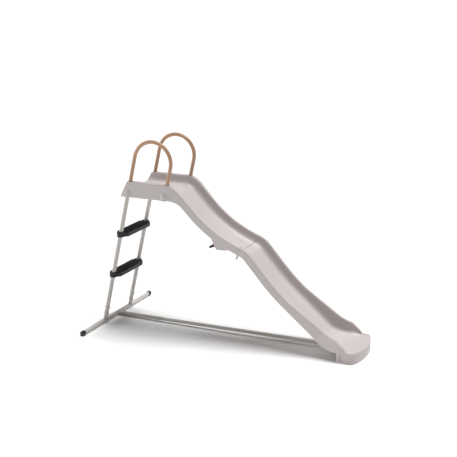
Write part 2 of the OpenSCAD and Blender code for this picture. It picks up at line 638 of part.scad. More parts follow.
module foot_bracket() color(steel) centred() difference() {
    union() {
        translate([bracket_x, -tab_face, bracket_low]) cube([bracket_plate, 2 * tab_face, bracket_height]);
        for (y = [-tab_face, tab_face - bracket_plate]) translate([bracket_x - tab_length, y, bracket_low])
            cube([tab_length + bracket_plate, bracket_plate, bracket_height]);
        on_tie() translate([0, 0, tie_length - 38]) cylinder(d = tie_bolt_outer[2], h = 39);
    }
    on_tie() translate([0, 0, tie_length - 60]) cylinder(d = tie_front_diameter + 2 * slip, h = 57.5);
    across_tie(2) translate([0, 0, -1]) cylinder(d = bolt_hole, h = tie_bolt_outer[2] + 2);
    foot_screw_places() translate([0, 0, -1]) cylinder(d = bolt_hole, h = 40);
}
module foot_screws() color(zinc) centred() foot_screw_places() {
    translate([0, 0, -button_h]) cylinder(d1 = button_d - 5, d2 = button_d, h = button_h);
    translate([0, 0, -small]) cylinder(d = bolt, h = foot_grip + nut_h + 3);
}
module foot_nuts() color(zinc) centred() foot_screw_places() nut_piece(foot_grip);

// ---- chute halves ----
// The hollow inside each moulding stops short of its ends.
lap_wall = 5;
upper_hollow = concat(
    [deep([platform_edge_x - 30 + 1.4 * skin, floor_z, 0], platform_z, platform_half, edge_tilt)],
    [for (i = [1:3]) platform_stations[i]], crest_stations, slope_stations,
    [for (i = [0:len(dip_one) - 2]) dip_stations[i]],
    [plain(run(box_start, skin), chute_half, -box_slope),
     deep(run(box_face, skin), inlet_box_height, chute_half, -box_slope), box_stations[1],
     deep(run(last(dip_two), -lap_wall), inlet_box_height, chute_half)]);
lower_hollow = concat([plain(run(dip_three, bolt_run - lap_arc + 11), chute_half, 10)],
    [for (i = [2:len(lower_stations) - len(foot_stations) - 3]) lower_stations[i]]);

module wall_slab(low, high) translate([-500, -1000, low]) cube([3000, 2000, high - low]);
boss_arch_z = boss_screw_height - 2;
module bosses() for (side = [-1, 1], x = [0, handle_spacing]) intersection() {
    on_leg(side) translate([x, side * (platform_half + boss_proud - boss_radius - leg_y),
        along_leg(platform_z, x) - 20]) cylinder(r = boss_radius, h = 120, $fn = 96);
    wall_slab(platform_z, rim_height);
    hull() for (z = [boss_arch_z, platform_z - 10])
        translate([leg_x(z) + x / cos(leg_lean), side * platform_half, z]) rotate([90, 0, 0])
        cylinder(r = boss_half, h = 2 * boss_proud + 6, center = true);
}
module posts() both() for (x = [0, handle_spacing])
    translate([x, 0, along_leg(platform_z, x) - 20]) cylinder(r = post_radius, h = 160);
module socket_bores() both() {
    cylinder(d = leg_diameter + 2 * slip, h = along_leg(leg_top) + slip);
    translate([0, 0, along_leg(leg_top)])
        cylinder(d = handle_diameter + 2 * slip, h = along_leg(rim_height + 60) - along_leg(leg_top));
    translate([handle_spacing, 0, handle_front_end - 60]) cylinder(d = handle_diameter + 2 * slip, h = 260);
}
module boss_screw_holes() for (side = [-1, 1]) {
    leg_screw_place(side) translate([0, 0, -1]) cylinder(d = screw_hole, h = boss_screw_length + 2);
    handle_screw_place(side) translate([0, 0, -1]) cylinder(d = screw_hole, h = boss_screw_length + 2);
}
module inlet_hole() inlet_place() translate([0, 0, -10]) cylinder(d = inlet_bore, h = 20);
module spray_hole() translate([spray_point[0], spray_y, inlet_box_height + 5])
    cylinder(d = spray_stub + 2 * slip, h = 30);

module upper_chute() color(plastic) centred() difference() {
    union() {
        loft(upper_stations);
        bosses();
    }
    difference() {
        loft(upper_hollow, skin, skin);
        posts();
        box_wedge(skin);
    }
    box_wedge(0);
    loft(lap_stations(0, 2), lap_skin, -20);
    socket_bores();
    boss_screw_holes();
    joint_holes();
    inlet_hole();
    spray_hole();
}
module lower_chute() color(plastic) centred() difference() {
    union() {
        loft(lower_stations);
        loft(lap_stations(lap_gap, 1.5), lap_skin + lap_gap, 0);
    }
    loft(lower_hollow, skin, skin);
    lip_trim();
    foot_pocket();
    joint_holes();
    joint_seats();
    foot_screw_places() translate([0, 0, -1]) cylinder(d = bolt_hole, h = 30);
}

base_frame();
cross_tube_cap_near();
cross_tube_cap_far();
tie_tube_rear();
tie_tube_front();
tie_bolts();
tie_nuts();
ladder_leg_near();
ladder_leg_far();
leg_base_bolts();
leg_base_nuts();
lower_tread();
upper_tread();
tread_screws();
upper_chute();
lower_chute();
handle_near();
handle_far();
handle_screws();
leg_top_screws();
joint_bolts();
joint_screws();
joint_washers();
joint_nuts();
hose_inlet();
hose_inlet_nut();
hose_inlet_washer();
water_tube();
spray_nozzle();
foot_bracket();
foot_screws();
foot_nuts();
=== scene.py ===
"""Toddler slide: the finished look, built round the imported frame.

Lengths inside the shape functions are millimetres measured from the rear ground tube's axis;
put() turns them into metres in the frame's own place.
"""

import math

import bmesh
import bpy
import numpy as np
from mathutils import Matrix, Vector
from mathutils.geometry import delaunay_2d_cdt


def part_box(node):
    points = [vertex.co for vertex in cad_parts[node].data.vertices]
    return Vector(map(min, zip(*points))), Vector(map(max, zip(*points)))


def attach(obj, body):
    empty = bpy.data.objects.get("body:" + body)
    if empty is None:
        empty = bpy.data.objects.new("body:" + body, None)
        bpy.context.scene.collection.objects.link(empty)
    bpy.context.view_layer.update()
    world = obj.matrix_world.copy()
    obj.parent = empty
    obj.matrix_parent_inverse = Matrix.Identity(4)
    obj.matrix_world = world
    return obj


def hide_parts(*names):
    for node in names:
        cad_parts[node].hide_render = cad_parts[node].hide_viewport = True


bl_info = {
    "name": "Toddler slide",
    "version": (1, 0, 0),
    "blender": (4, 5, 0),
    "location": "View3D > Sidebar > Slide",
    "description": "Builds the slide's chute, ladder, handles, ground frame and fittings",
    "category": "Object",
}

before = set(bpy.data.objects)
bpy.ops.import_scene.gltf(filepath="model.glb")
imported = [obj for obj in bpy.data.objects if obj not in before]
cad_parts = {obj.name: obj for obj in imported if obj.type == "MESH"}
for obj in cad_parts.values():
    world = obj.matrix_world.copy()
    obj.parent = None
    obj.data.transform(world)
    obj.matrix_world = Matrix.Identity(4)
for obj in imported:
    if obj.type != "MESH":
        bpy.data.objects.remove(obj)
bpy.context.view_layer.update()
MM = 0.001
_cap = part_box("cross_tube_cap_near")
AXIS_X = (_cap[0].x + _cap[1].x) / 2  # the rear ground tube's axis, in the frame


def length(name, description, default):
    return bpy.props.FloatProperty(name=name, description=description, default=default * MM,
                                   unit="LENGTH", subtype="DISTANCE", min=0.0)


def colour(name, description, default):
    return bpy.props.FloatVectorProperty(name=name, description=description, default=default,
                                         size=3, min=0.0, max=1.0, subtype="COLOR")


class SlideSizes(bpy.types.PropertyGroup):
    """Sizes of the slide's pieces."""

    leg_spacing: length("Leg spacing", "Distance between the legs' axes", 326)
    leg_diameter: length("Leg diameter", "Outer diameter of the ladder's legs", 28)
    handle_diameter: length("Handle diameter", "Diameter of the hoops' tube", 25)
    handle_spacing: length("Handle spacing", "Distance between a hoop's two legs", 257)
    handle_rise: length("Handle rise", "Height of a hoop's top above the rim", 274)
    tread_depth: length("Tread depth", "Depth of a tread from front to back", 86)
    tread_thickness: length("Tread thickness", "Thickness of a tread", 30)
    tread_height: length("Tread height", "Height of the lower tread's top", 361)
    tread_spacing: length("Tread spacing", "Distance from tread to tread", 281)
    cross_length: length("Cross tube length", "Length of the cross tube with its caps", 900)
    cross_diameter: length("Cross tube diameter", "Outer diameter of the cross tube", 28)


class SlideColours(bpy.types.PropertyGroup):
    """Colours of the slide's finishes."""

    chute: colour("Chute", "Moulded plastic of the chute", (0.615, 0.565, 0.55))
    tube: colour("Tube", "Powder coat of the ladder and ground frame", (0.60, 0.57, 0.54))
    handle: colour("Handle", "Powder coat of the hoops", (0.50, 0.30, 0.185))
    tread: colour("Tread", "Plastic of the treads", (0.014, 0.014, 0.016))
    cap: colour("Cap", "Plastic of the end caps and fittings", (0.014, 0.014, 0.015))
    zinc: colour("Zinc", "Plating of the bolts, screws and nuts", (0.46, 0.47, 0.49))
    seal: colour("Seal", "Rubber of the washer and hose", (0.02, 0.02, 0.02))


# ---------------------------------------------------------------- the channel's floor line

def bend(p, radius, to, part=1.0):
    turn = 1 if to > p[2] else -1
    end = p[2] + (to - p[2]) * part
    a, b = math.radians(p[2]), math.radians(end)
    return (p[0] + turn * radius * (math.sin(b) - math.sin(a)),
            p[1] + turn * radius * (math.cos(b) - math.cos(a)), end)


def run(p, distance):
    a = math.radians(p[2])
    return (p[0] + distance * math.cos(a), p[1] - distance * math.sin(a), p[2])


class Line:
    """The floor line as arcs and straights, with each named place's distance along it."""

    def __init__(self, start):
        self.points = [(0.0, *start)]
        self.at = {}

    def end(self):
        return self.points[-1][1:]

    def mark(self, name):
        self.at[name] = self.points[-1][0]

    def arc(self, radius, to):
        start, s = self.end(), self.points[-1][0]
        span = radius * math.radians(abs(to - start[2]))
        n = max(4, int(span))
        for k in range(1, n + 1):
            self.points.append((s + span * k / n, *bend(start, radius, to, k / n)))

    def straight(self, distance):
        start, s = self.end(), self.points[-1][0]
        n = max(2, int(distance / 4))
        for k in range(1, n + 1):
            self.points.append((s + distance * k / n, *run(start, distance * k / n)))

    def finish(self):
        self.table = np.array(self.points)

    def place(self, s):
        """x, z and slope at each distance in s; straight on past either end."""
        t = self.table
        x, z, slope = (np.interp(s, t[:, 0], t[:, k]) for k in (1, 2, 3))
        for end, over in ((t[0], np.minimum(s - t[0, 0], 0)), (t[-1], np.maximum(s - t[-1, 0], 0))):
            x = x + over * math.cos(math.radians(end[3]))
            z = z - over * math.sin(math.radians(end[3]))
        return x, z, slope


RIM_Z = 985.0
WALL = 58.0
FLOOR_Z = RIM_Z - WALL
PLATFORM_Z = RIM_Z - 103.0
LEG_FOOT_Z = 16.5
LEAN = math.radians(13)
EDGE_X = (RIM_Z - LEG_FOOT_Z) * math.tan(LEAN) - 16
JOINT_SLOPE = 22.4
DIP = 796 + WALL
LAP_SLOPE = JOINT_SLOPE + math.degrees(26 / 796)
BOX_SLOPE = JOINT_SLOPE + 8.4
BOX_LOW = 604.0
BOX_LEAN = math.radians(27)
BELLY, EDGE_RISE = 12.0, 6.0
CHUTE_HALF, PLATFORM_HALF, FOOT_HALF = 165.5, 181.0, 181.0
RIM = 17.0
LEG_Y, LEG_TOP = 163.0, 932.0
TUBE_WALL = 1.2
HOOP_GAP = 257.0  # between a hoop's legs
BOSS_SCREW_Z = 910.0
SLEEVE_RADIUS = 25.3
SCREW_RUN, BOLT_RUN = 10.0, 83.0  # down the overlap
RIM_BOLT_Y, FLOOR_SCREW_Y = 149.5, 62.0
FOOT_SCREW_HEIGHTS = (20, 44)
EXIT_FLOOR = 67.0
EXIT_WALL, END_WALL = 84.0, 74.0
EXIT_RADIUS, LAST_SLOPE, EXIT_LENGTH = 210.0, 39.5, 160.0


def floor_line():
    line = Line((EDGE_X - 30, FLOOR_Z, 0.0))
    line.straight(286)
    line.mark("crest")
    line.arc(143 - WALL, 46.7)
    line.mark("slope")
    line.straight(131)
    line.mark("dip")
    line.arc(DIP, BOX_SLOPE)
    line.mark("box")
    line.arc(DIP, LAP_SLOPE)
    line.mark("lap")
    line.arc(DIP, JOINT_SLOPE)
    line.mark("level")
    line.straight(42)
    line.mark("seam")
    line.straight(26)
    line.mark("seam_end")
    line.arc(154 - WALL, 48.7)
    line.mark("second_run")
    line.straight(152)
    line.mark("long")
    line.arc(1315 + WALL, LAST_SLOPE)
    line.mark("last_run")
    sine = math.sin(math.radians(LAST_SLOPE))
    drop = line.end()[1] - EXIT_FLOOR - EXIT_RADIUS * (1 - math.cos(math.radians(LAST_SLOPE)))
    line.straight(drop / sine)
    line.mark("exit_bend")
    line.arc(EXIT_RADIUS, 0.0)
    line.mark("exit")
    line.straight(EXIT_LENGTH + 6)
    line.finish()
    return line


LINE = floor_line()
AT = LINE.at
EXIT_X = float(LINE.place(np.array([AT["exit"]]))[0][0])
FOOT_X = EXIT_X + 18
LIP_X = EXIT_X + EXIT_LENGTH


def soft_max(a, b, r):
    """The larger of two, with a soft corner where they meet."""
    return np.maximum(a, b) + np.maximum(0, 1 - np.abs(a - b) / r) ** 2 * r / 4


def ease(t):
    t = np.clip(t, 0, 1)
    return t * t * (3 - 2 * t)


def mix(a, b, t):
    return a + (b - a) * np.clip(t, 0, 1)


def level_edge(z, slope, tilt, level):
    a, b = np.radians(tilt), np.radians(slope + tilt)
    return (z - level) * np.cos(a) / np.cos(b)


def upper_stations(s):
    x, z, slope = LINE.place(s)
    box, lap, level = AT["box"], AT["lap"], AT["level"]
    tilt = np.interp(s, [0, 42, 100, box - 110, box - 12, box + 27, box + 50, lap, level, AT["seam"]],
                     [27, 13.5, 0, 0, -BOX_SLOPE, -29, -BOX_SLOPE / 3, 0, 22 / 3, 22])
    half = mix(PLATFORM_HALF, CHUTE_HALF, (x - (EDGE_X + 256) - 20) / 130)
    edge = soft_max(np.full_like(s, -EDGE_RISE), level_edge(z, slope, tilt, PLATFORM_Z), 50)
    corner_x, _, _ = LINE.place(np.array([box + 2.0]))
    corner_z = LINE.place(np.array([box]))[1][0] - BELLY
    low = soft_max(np.full_like(s, BOX_LOW), corner_z - (x - corner_x[0]) / math.tan(BOX_LEAN), 5)
    box_edge = level_edge(z, slope, tilt, low)
    fade = 1 - ease((s - lap + 6) / (level - lap + 6))
    box_edge = np.where(s > box - 12, -EDGE_RISE + np.maximum(box_edge + EDGE_RISE, 0) * fade, -EDGE_RISE)
    edge = np.maximum(edge, box_edge)
    belly = soft_max(np.full_like(s, BELLY), edge, 2)
    return dict(x=x, z=z, slope=slope, tilt=tilt, wall=np.full_like(s, WALL), edge=edge, belly=belly,
                half=half, inner=np.full_like(s, CHUTE_HALF - RIM))


def lower_stations(s):
    x, z, slope = LINE.place(s)
    last, bend_at, level = AT["last_run"], AT["exit_bend"], AT["exit"]
    tilt = np.interp(s, [AT["seam"], AT["seam_end"], AT["seam_end"] + 30], [22, 8, 0])
    wall = np.interp(s, [last, bend_at], [WALL, EXIT_WALL])
    wall = np.where(s > bend_at, mix(END_WALL, EXIT_WALL, slope / 20), wall)
    wall = np.where(x > EXIT_X + 4, mix(END_WALL, 2.4, (x - EXIT_X - 4) / 84), wall)
    wall = smooth(wall, s, 9)
    edge = np.where(s > bend_at, mix(-EDGE_RISE, 10, (LAST_SLOPE - slope) / LAST_SLOPE), -EDGE_RISE)
    belly = np.where(s > bend_at, mix(BELLY, 15, (s - bend_at) / 20), BELLY)
    foot = ease((x - FOOT_X + 3) / 6)
    edge = edge + (EXIT_FLOOR - edge) * foot
    belly = belly + (EXIT_FLOOR - belly) * foot
    last_x = float(LINE.place(np.array([bend_at]))[0][0])
    half = mix(CHUTE_HALF, FOOT_HALF, (x - last_x) / (FOOT_X + 20 - last_x))
    return dict(x=x, z=z, slope=slope, tilt=tilt, wall=wall, edge=edge, belly=belly, half=half,
                inner=half - RIM)


def smooth(values, s, reach):
    """values averaged over reach to each side of every distance in s."""
    out = np.zeros_like(values)
    for d in (-1, -0.5, 0, 0.5, 1):
        out += np.interp(s + d * reach, s, values)
    return out / 5


def curve(points, n):
    """n + 1 points of the Bezier curve with these control points."""
    t = np.linspace(0, 1, n + 1)[:, None]
    p = [np.asarray(q, float)[None, :] for q in points]
    while len(p) > 1:
        p = [a * (1 - t) + b * t for a, b in zip(p, p[1:])]
    return p[0]


def half_section(wall, edge, belly, half, inner, groove):
    """(across, up) from the middle of the underside round to the middle of the floor."""
    h, w = wall, half
    lip = min(8.0, 0.4 * h)
    r = min(36.0, 0.62 * h)
    face = inner - min(8.0, h / 6)
    corner = min(3.5, 0.4 * (h + edge))
    under = np.linspace(0, w - 46, 17)
    rise = groove * (0.5 + 0.5 * np.cos(np.clip((under - 62) / 22, -1, 1) * math.pi))
    parts = [np.stack([under, -belly + rise], 1)[:-1],
             curve([(w - 46, -belly), (w - 27, -belly), (w - 17, -edge), (w - corner, -edge)], 8)[:-1],
             curve([(w - corner, -edge), (w - corner / 3, -edge), (w, -edge + corner / 3),
                    (w, -edge + corner)], 4)[:-1],
             np.linspace((w, -edge + corner), (w, h - lip), 17)[:-1],
             curve([(w, h - lip), (w, h - 0.4 * lip), (w - 0.4 * lip, h), (w - lip, h)], 6)[:-1],
             np.linspace((w - lip, h), (inner + 0.1 * lip, h), 4)[:-1],
             curve([(inner + 0.1 * lip, h), (inner - 0.35 * lip, h), (inner - 0.6 * lip, h - 0.35 * lip),
                    (inner - 0.68 * lip, h - lip)], 5)[:-1],
             curve([(inner - 0.68 * lip, h - lip), (face + 0.4, r + 0.3 * (h - lip - r)), (face, r)], 5)[:-1]]
    t = np.radians(np.linspace(0, 90, 15))
    parts.append(np.stack([face - r + r * np.cos(t), r - r * np.sin(t)], 1)[:-1])
    parts.append(np.linspace((face - r, 0), (0, 0), 11))
    return np.concatenate(parts)


def whole_section(half):
    mirror = half[-2:0:-1] * (-1, 1)
    return np.concatenate([half, mirror])


def pulled_in(ring, distance):
    """A section moved inwards by distance all the way round."""
    step = np.roll(ring, -1, 0) - np.roll(ring, 1, 0)
    step /= np.linalg.norm(step, axis=1)[:, None] + 1e-9
    return ring + np.stack([-step[:, 1], step[:, 0]], 1) * distance


def spaced(start, end, step, fine=(), round_off=2.5):
    """Distances from start to end: even, closer near the ends and in each fine stretch."""
    near = round_off * (1 - np.cos(np.linspace(0, math.pi / 2, 6)))
    s = [start + near, end - near, np.arange(start + round_off + 1.5, end - round_off - 1, step)]
    s += [np.arange(a, b, c) for a, b, c in fine]
    s = np.unique(np.round(np.concatenate(s), 3))
    keep = [s[0]]
    for v in s[1:]:
        if v - keep[-1] > 0.02:
            keep.append(v)
    return np.array(keep)


def boss(side, across):
    """A round-topped boss on the platform's side, over a leg or a hoop's front end."""
    rings, half, proud, arch = [], 20.0, 5.9, 908.0
    heights = [PLATFORM_Z - 0.3, *np.linspace(PLATFORM_Z + 1, arch, 10)]
    heights += [arch + half * math.sin(a) for a in np.linspace(0.12, 1.5, 14)]
    for z in heights:
        a = math.sqrt(max(half ** 2 - max(z - arch, 0) ** 2, 0.5))
        t = np.sin(np.linspace(-math.pi / 2, math.pi / 2, 33))
        out = PLATFORM_HALF - 0.4 + (proud + 0.4) * (1 - np.abs(t) ** 2.8) ** 0.55 * (a / half) ** 0.35
        x = leg_x(z) + across / math.cos(LEAN) + t * a
        row = [(x[0], side * 172, z), *zip(x, side * out, np.full_like(x, z)), (x[-1], side * 172, z)]
        rings.append(row)
    return loft(rings)


def lip_front(t):
    return LIP_X - 36 * t ** 2 - 14 * np.abs(t) ** 16


def loft(rings):
    """A closed form through rings of points, its flat ends closed by one face each."""
    n, m = len(rings[0]), len(rings)
    verts = [tuple(v) for r in rings for v in r]
    faces = [(i * n + j, i * n + (j + 1) % n, (i + 1) * n + (j + 1) % n, (i + 1) * n + j)
             for i in range(m - 1) for j in range(n)]
    return verts, faces + [tuple(range(n - 1, -1, -1)), tuple(range((m - 1) * n, m * n))]


def end_faces(ring):
    """Triangles over a section that bows along X: each joins points that lie close across the width."""
    flat = [Vector((y, z)) for _, y, z in ring]
    points, _, faces, _, _, _ = delaunay_2d_cdt(flat, [], [list(range(len(flat)))], 1, 1e-6)
    near = [min(range(len(flat)), key=lambda i: (flat[i] - q).length) for q in points]
    faces = [tuple(near[i] for i in f) for f in faces]
    return [f for f in faces if len(set(f)) == 3]


def chute_mesh(name, s, make, ends, groove, lip=False):
    st = make(s)
    rings = []
    for i, d in enumerate(s):
        k = {key: float(v[i]) for key, v in st.items()}
        depth = groove if k["belly"] < 13 and not (AT["box"] - 30 < d < AT["seam"] + 6) else 0
        ring = whole_section(half_section(k["wall"], k["edge"], k["belly"], k["half"], k["inner"], depth))
        for end, sign, radius, shrink in ends:
            near = (d - end) * sign
            if near < radius:
                pull = radius - math.sqrt(max(radius ** 2 - (radius - near) ** 2, 0))
                if shrink:
                    low, high = ring[:, 1].min(), ring[:, 1].max()
                    ring = np.stack([ring[:, 0] * (1 - pull / k["half"]),
                                     low + (ring[:, 1] - low) * (1 - pull / (high - low))], 1)
                else:
                    ring = pulled_in(ring, pull)
        a, b = math.radians(k["tilt"]), math.radians(k["slope"] + k["tilt"])
        px = k["x"] + ring[:, 1] * math.sin(b) / math.cos(a)
        pz = k["z"] + ring[:, 1] * math.cos(b) / math.cos(a)
        pts = np.stack([px, ring[:, 0], pz], 1)
        if lip:
            t = np.clip(pts[:, 1] / FOOT_HALF, -1, 1)
            start = EXIT_X + 60
            share = np.clip((pts[:, 0] - start) / (LIP_X - start), 0, 1)
            pts[:, 0] += share * (lip_front(t) - LIP_X)
        rings.append(pts)
    verts, faces = loft(rings)
    last = (len(rings) - 1) * len(rings[0])
    faces = faces[:-2] + end_faces(rings[0]) + [tuple(last + i for i in f) for f in end_faces(rings[-1])]
    return solid(name, (verts, faces))


# ---------------------------------------------------------------- mesh helpers

def put(name, verts, faces):
    """A mesh object from millimetre points measured from the rear tube's axis."""
    v = np.asarray(verts, float) * MM
    v[:, 0] += AXIS_X
    me = bpy.data.meshes.new(name)
    me.from_pydata(v.tolist(), [], faces)
    me.validate()
    me.update()
    ob = bpy.data.objects.new(name, me)
    bpy.context.scene.collection.objects.link(ob)
    return ob


def shaded(ob, degrees, outward=False):
    """Smooth faces, with the edges sharper than this angle kept sharp."""
    bm = bmesh.new()
    bm.from_mesh(ob.data)
    if outward:
        bmesh.ops.recalc_face_normals(bm, faces=bm.faces)
    for e in bm.edges:
        e.smooth = not (len(e.link_faces) == 2 and e.calc_face_angle(0) > math.radians(degrees))
    for f in bm.faces:
        f.smooth = True
    bm.to_mesh(ob.data)
    bm.free()
    return ob


def solid(name, *forms, sharp=40):
    """A mesh object made of one or more (points, faces) forms."""
    verts, faces = [], []
    for points, sides in forms:
        base = len(verts)
        verts += [tuple(v) for v in points]
        faces += [tuple(base + i for i in f) for f in sides]
    return shaded(put(name, verts, faces), sharp, outward=True)


def lathe(profile, n=48, lobes=None):
    """A closed turned form about +Z from (radius, height) pairs; lobes(angle, radius) reshapes it."""
    verts, faces, rows = [], [], []
    for r, z in profile:
        if r < 1e-6:
            rows.append([len(verts)])
            verts.append((0, 0, z))
            continue
        row = []
        for k in range(n):
            a = 2 * math.pi * k / n
            rr = lobes(a, r, z) if lobes else r
            row.append(len(verts))
            verts.append((rr * math.cos(a), rr * math.sin(a), z))
        rows.append(row)
    for one, two in zip(rows, rows[1:]):
        for k in range(n):
            j = (k + 1) % n
            if len(one) == 1 and len(two) == 1:
                continue
            if len(one) == 1:
                faces.append((one[0], two[j], two[k]))
            elif len(two) == 1:
                faces.append((one[k], one[j], two[0]))
            else:
                faces.append((one[k], one[j], two[j], two[k]))
    return verts, faces


def ring_profile(points):
    """A profile closed on itself, for rings and hollow forms."""
    return points + [points[0]]


def rounded(points, r=0.6, n=3):
    """A profile with each inner corner rounded by r."""
    out = [points[0]]
    for a, b, c in zip(points, points[1:], points[2:]):
        a, b, c = (np.asarray(p, float) for p in (a, b, c))
        la, lc = np.linalg.norm(a - b), np.linalg.norm(c - b)
        if la < 1e-6 or lc < 1e-6:
            out.append(tuple(b))
            continue
        k = min(r, 0.45 * la, 0.45 * lc)
        p0, p1 = b + (a - b) / la * k, b + (c - b) / lc * k
        out += [tuple(q) for q in curve([p0, b, p1], n)]
    out.append(points[-1])
    return out


def moved_form(form, matrix):
    """A form's points and faces, put in place by a matrix."""
    verts, faces = form
    return [tuple(matrix @ Vector(v)) for v in verts], faces


def facing(origin, direction, spin=0.0):
    """A matrix that puts a form made along +Z at origin, pointing along direction."""
    z = Vector(direction).normalized()
    side = Vector((0, 1, 0)) if abs(z.y) < 0.9 else Vector((1, 0, 0))
    x = side.cross(z).normalized()
    y = z.cross(x)
    turn = Matrix((x, y, z)).transposed().to_4x4()
    return Matrix.Translation(Vector(origin)) @ turn @ Matrix.Rotation(spin, 4, "Z")


def tube_along(path, radius, n=40, closed=False, ripple=None):
    """A swept round bar; ripple(i) scales the radius at each point."""
    p = [Vector(q) for q in path]
    m = len(p)
    tangents = []
    for i in range(m):
        a = p[(i - 1) % m] if closed else p[max(i - 1, 0)]
        b = p[(i + 1) % m] if closed else p[min(i + 1, m - 1)]
        tangents.append((b - a).normalized())
    up = Vector((0, 1, 0)) if abs(tangents[0].y) < 0.9 else Vector((1, 0, 0))
    verts, faces = [], []
    for i in range(m):
        x = up.cross(tangents[i])
        if x.length < 1e-6:
            x = tangents[i].orthogonal()
        x.normalize()
        y = tangents[i].cross(x)
        up = y
        r = radius * (ripple(i) if ripple else 1)
        for k in range(n):
            a = 2 * math.pi * k / n
            verts.append(tuple(p[i] + x * (r * math.cos(a)) + y * (r * math.sin(a))))
    for i in range(m if closed else m - 1):
        for k in range(n):
            a, b = i * n + k, i * n + (k + 1) % n
            c, d = ((i + 1) % m) * n + (k + 1) % n, ((i + 1) % m) * n + k
            faces.append((a, b, c, d))
    if not closed:
        faces.append(tuple(range(n - 1, -1, -1)))
        faces.append(tuple(range((m - 1) * n, m * n)))
    return verts, faces


def slab(outline, low, high, r_low, r_high, n=4):
    """An upright block on an outline (counter-clockwise), with rounded lower and upper edges."""
    outline = np.asarray(outline, float)
    rings = []
    for k in range(n + 1):
        t = math.radians(90 * k / n)
        rings.append((pulled_in(outline, r_low * (1 - math.sin(t))), low + r_low * (1 - math.cos(t))))
    for k in range(n + 1):
        t = math.radians(90 * k / n)
        rings.append((pulled_in(outline, r_high * (1 - math.cos(t))), high - r_high * (1 - math.sin(t))))
    m = len(outline)
    verts = [(x, y, z) for ring, z in rings for x, y in ring]
    faces = [(i * m + j, i * m + (j + 1) % m, (i + 1) * m + (j + 1) % m, (i + 1) * m + j)
             for i in range(len(rings) - 1) for j in range(m)]
    faces.append(tuple(range(m - 1, -1, -1)))
    faces.append(tuple(range((len(rings) - 1) * m, len(rings) * m)))
    return verts, faces


def round_outline(corners, r, n=5):
    """A closed outline with its corners rounded."""
    out = []
    m = len(corners)
    for i in range(m):
        a, b, c = (np.asarray(corners[(i + k) % m], float) for k in (-1, 0, 1))
        la, lc = np.linalg.norm(a - b), np.linalg.norm(c - b)
        k = min(r, 0.45 * la, 0.45 * lc)
        out += list(curve([b + (a - b) / la * k, b, b + (c - b) / lc * k], n))
    return np.array(out)


def cut(ob, cutters, operation="DIFFERENCE"):
    """ob with the cutters taken away or joined on, as one closed mesh."""
    for c in cutters:
        m = ob.modifiers.new("cut", "BOOLEAN")
        m.operation, m.solver, m.object = operation, "EXACT", c
    graph = bpy.context.evaluated_depsgraph_get()
    made = bpy.data.meshes.new_from_object(ob.evaluated_get(graph))
    ob.modifiers.clear()
    old = ob.data
    ob.data = made
    bpy.data.meshes.remove(old)
    for c in cutters:
        bpy.data.objects.remove(c)
    return ob


# ---------------------------------------------------------------- finishes

def group(name, inputs, outputs):
    tree = bpy.data.node_groups.get(name)
    if tree:
        return tree, True
    tree = bpy.data.node_groups.new(name, "ShaderNodeTree")
    for label, kind in inputs:
        tree.interface.new_socket(label, in_out="INPUT", socket_type=kind)
    for label, kind in outputs:
        tree.interface.new_socket(label, in_out="OUTPUT", socket_type=kind)
    return tree, False


def node(tree, kind, **settings):
    n = tree.nodes.new(kind)
    for key, value in settings.items():
        setattr(n, key, value)
    return n


def maths(tree, operation, a, b=None, c=None):
    n = node(tree, "ShaderNodeMath", operation=operation)
    for socket, value in zip(n.inputs, (a, b, c)):
        if value is None:
            continue
        if isinstance(value, bpy.types.NodeSocket):
            tree.links.new(value, socket)
        else:
            socket.default_value = value
    return n.outputs[0]


def noise(tree, vector, scale, detail=2.0, rough=0.5):
    n = node(tree, "ShaderNodeTexNoise", noise_dimensions="3D")
    tree.links.new(vector, n.inputs["Vector"])
    if isinstance(scale, bpy.types.NodeSocket):
        tree.links.new(scale, n.inputs["Scale"])
    else:
        n.inputs["Scale"].default_value = scale
    n.inputs["Detail"].default_value = detail
    n.inputs["Roughness"].default_value = rough
    return n.outputs["Fac"]


COLOUR, FLOAT = "NodeSocketColor", "NodeSocketFloat"


def grain_group():
    """Broad shade changes, a fine grain's height, and a roughness that follows both."""
    tree, ready = group("surface_grain", [("Colour", COLOUR), ("Shade", FLOAT), ("Grain Scale", FLOAT),
                                          ("Roughness", FLOAT), ("Spread", FLOAT)],
                        [("Colour", COLOUR), ("Roughness", FLOAT), ("Height", FLOAT)])
    if ready:
        return tree
    a, z = node(tree, "NodeGroupInput"), node(tree, "NodeGroupOutput")
    place = node(tree, "ShaderNodeTexCoord").outputs["Object"]
    broad = noise(tree, place, 7.0, 3.0, 0.55)
    patch = noise(tree, place, 42.0, 2.0, 0.5)
    grain = noise(tree, place, a.outputs["Grain Scale"], 2.0, 0.6)
    both = maths(tree, "ADD", maths(tree, "MULTIPLY", broad, 0.7), maths(tree, "MULTIPLY", patch, 0.3))
    off = maths(tree, "SUBTRACT", both, 0.5)
    value = maths(tree, "MULTIPLY_ADD", off, a.outputs["Shade"], 1.0)
    hsv = node(tree, "ShaderNodeHueSaturation")
    tree.links.new(a.outputs["Colour"], hsv.inputs["Color"])
    tree.links.new(value, hsv.inputs["Value"])
    tree.links.new(hsv.outputs["Color"], z.inputs["Colour"])
    wave = maths(tree, "SUBTRACT", maths(tree, "ADD", maths(tree, "MULTIPLY", grain, 0.5),
                                         maths(tree, "MULTIPLY", patch, 0.5)), 0.5)
    tree.links.new(maths(tree, "MULTIPLY_ADD", wave, a.outputs["Spread"], a.outputs["Roughness"]),
                   z.inputs["Roughness"])
    tree.links.new(grain, z.inputs["Height"])
    return tree


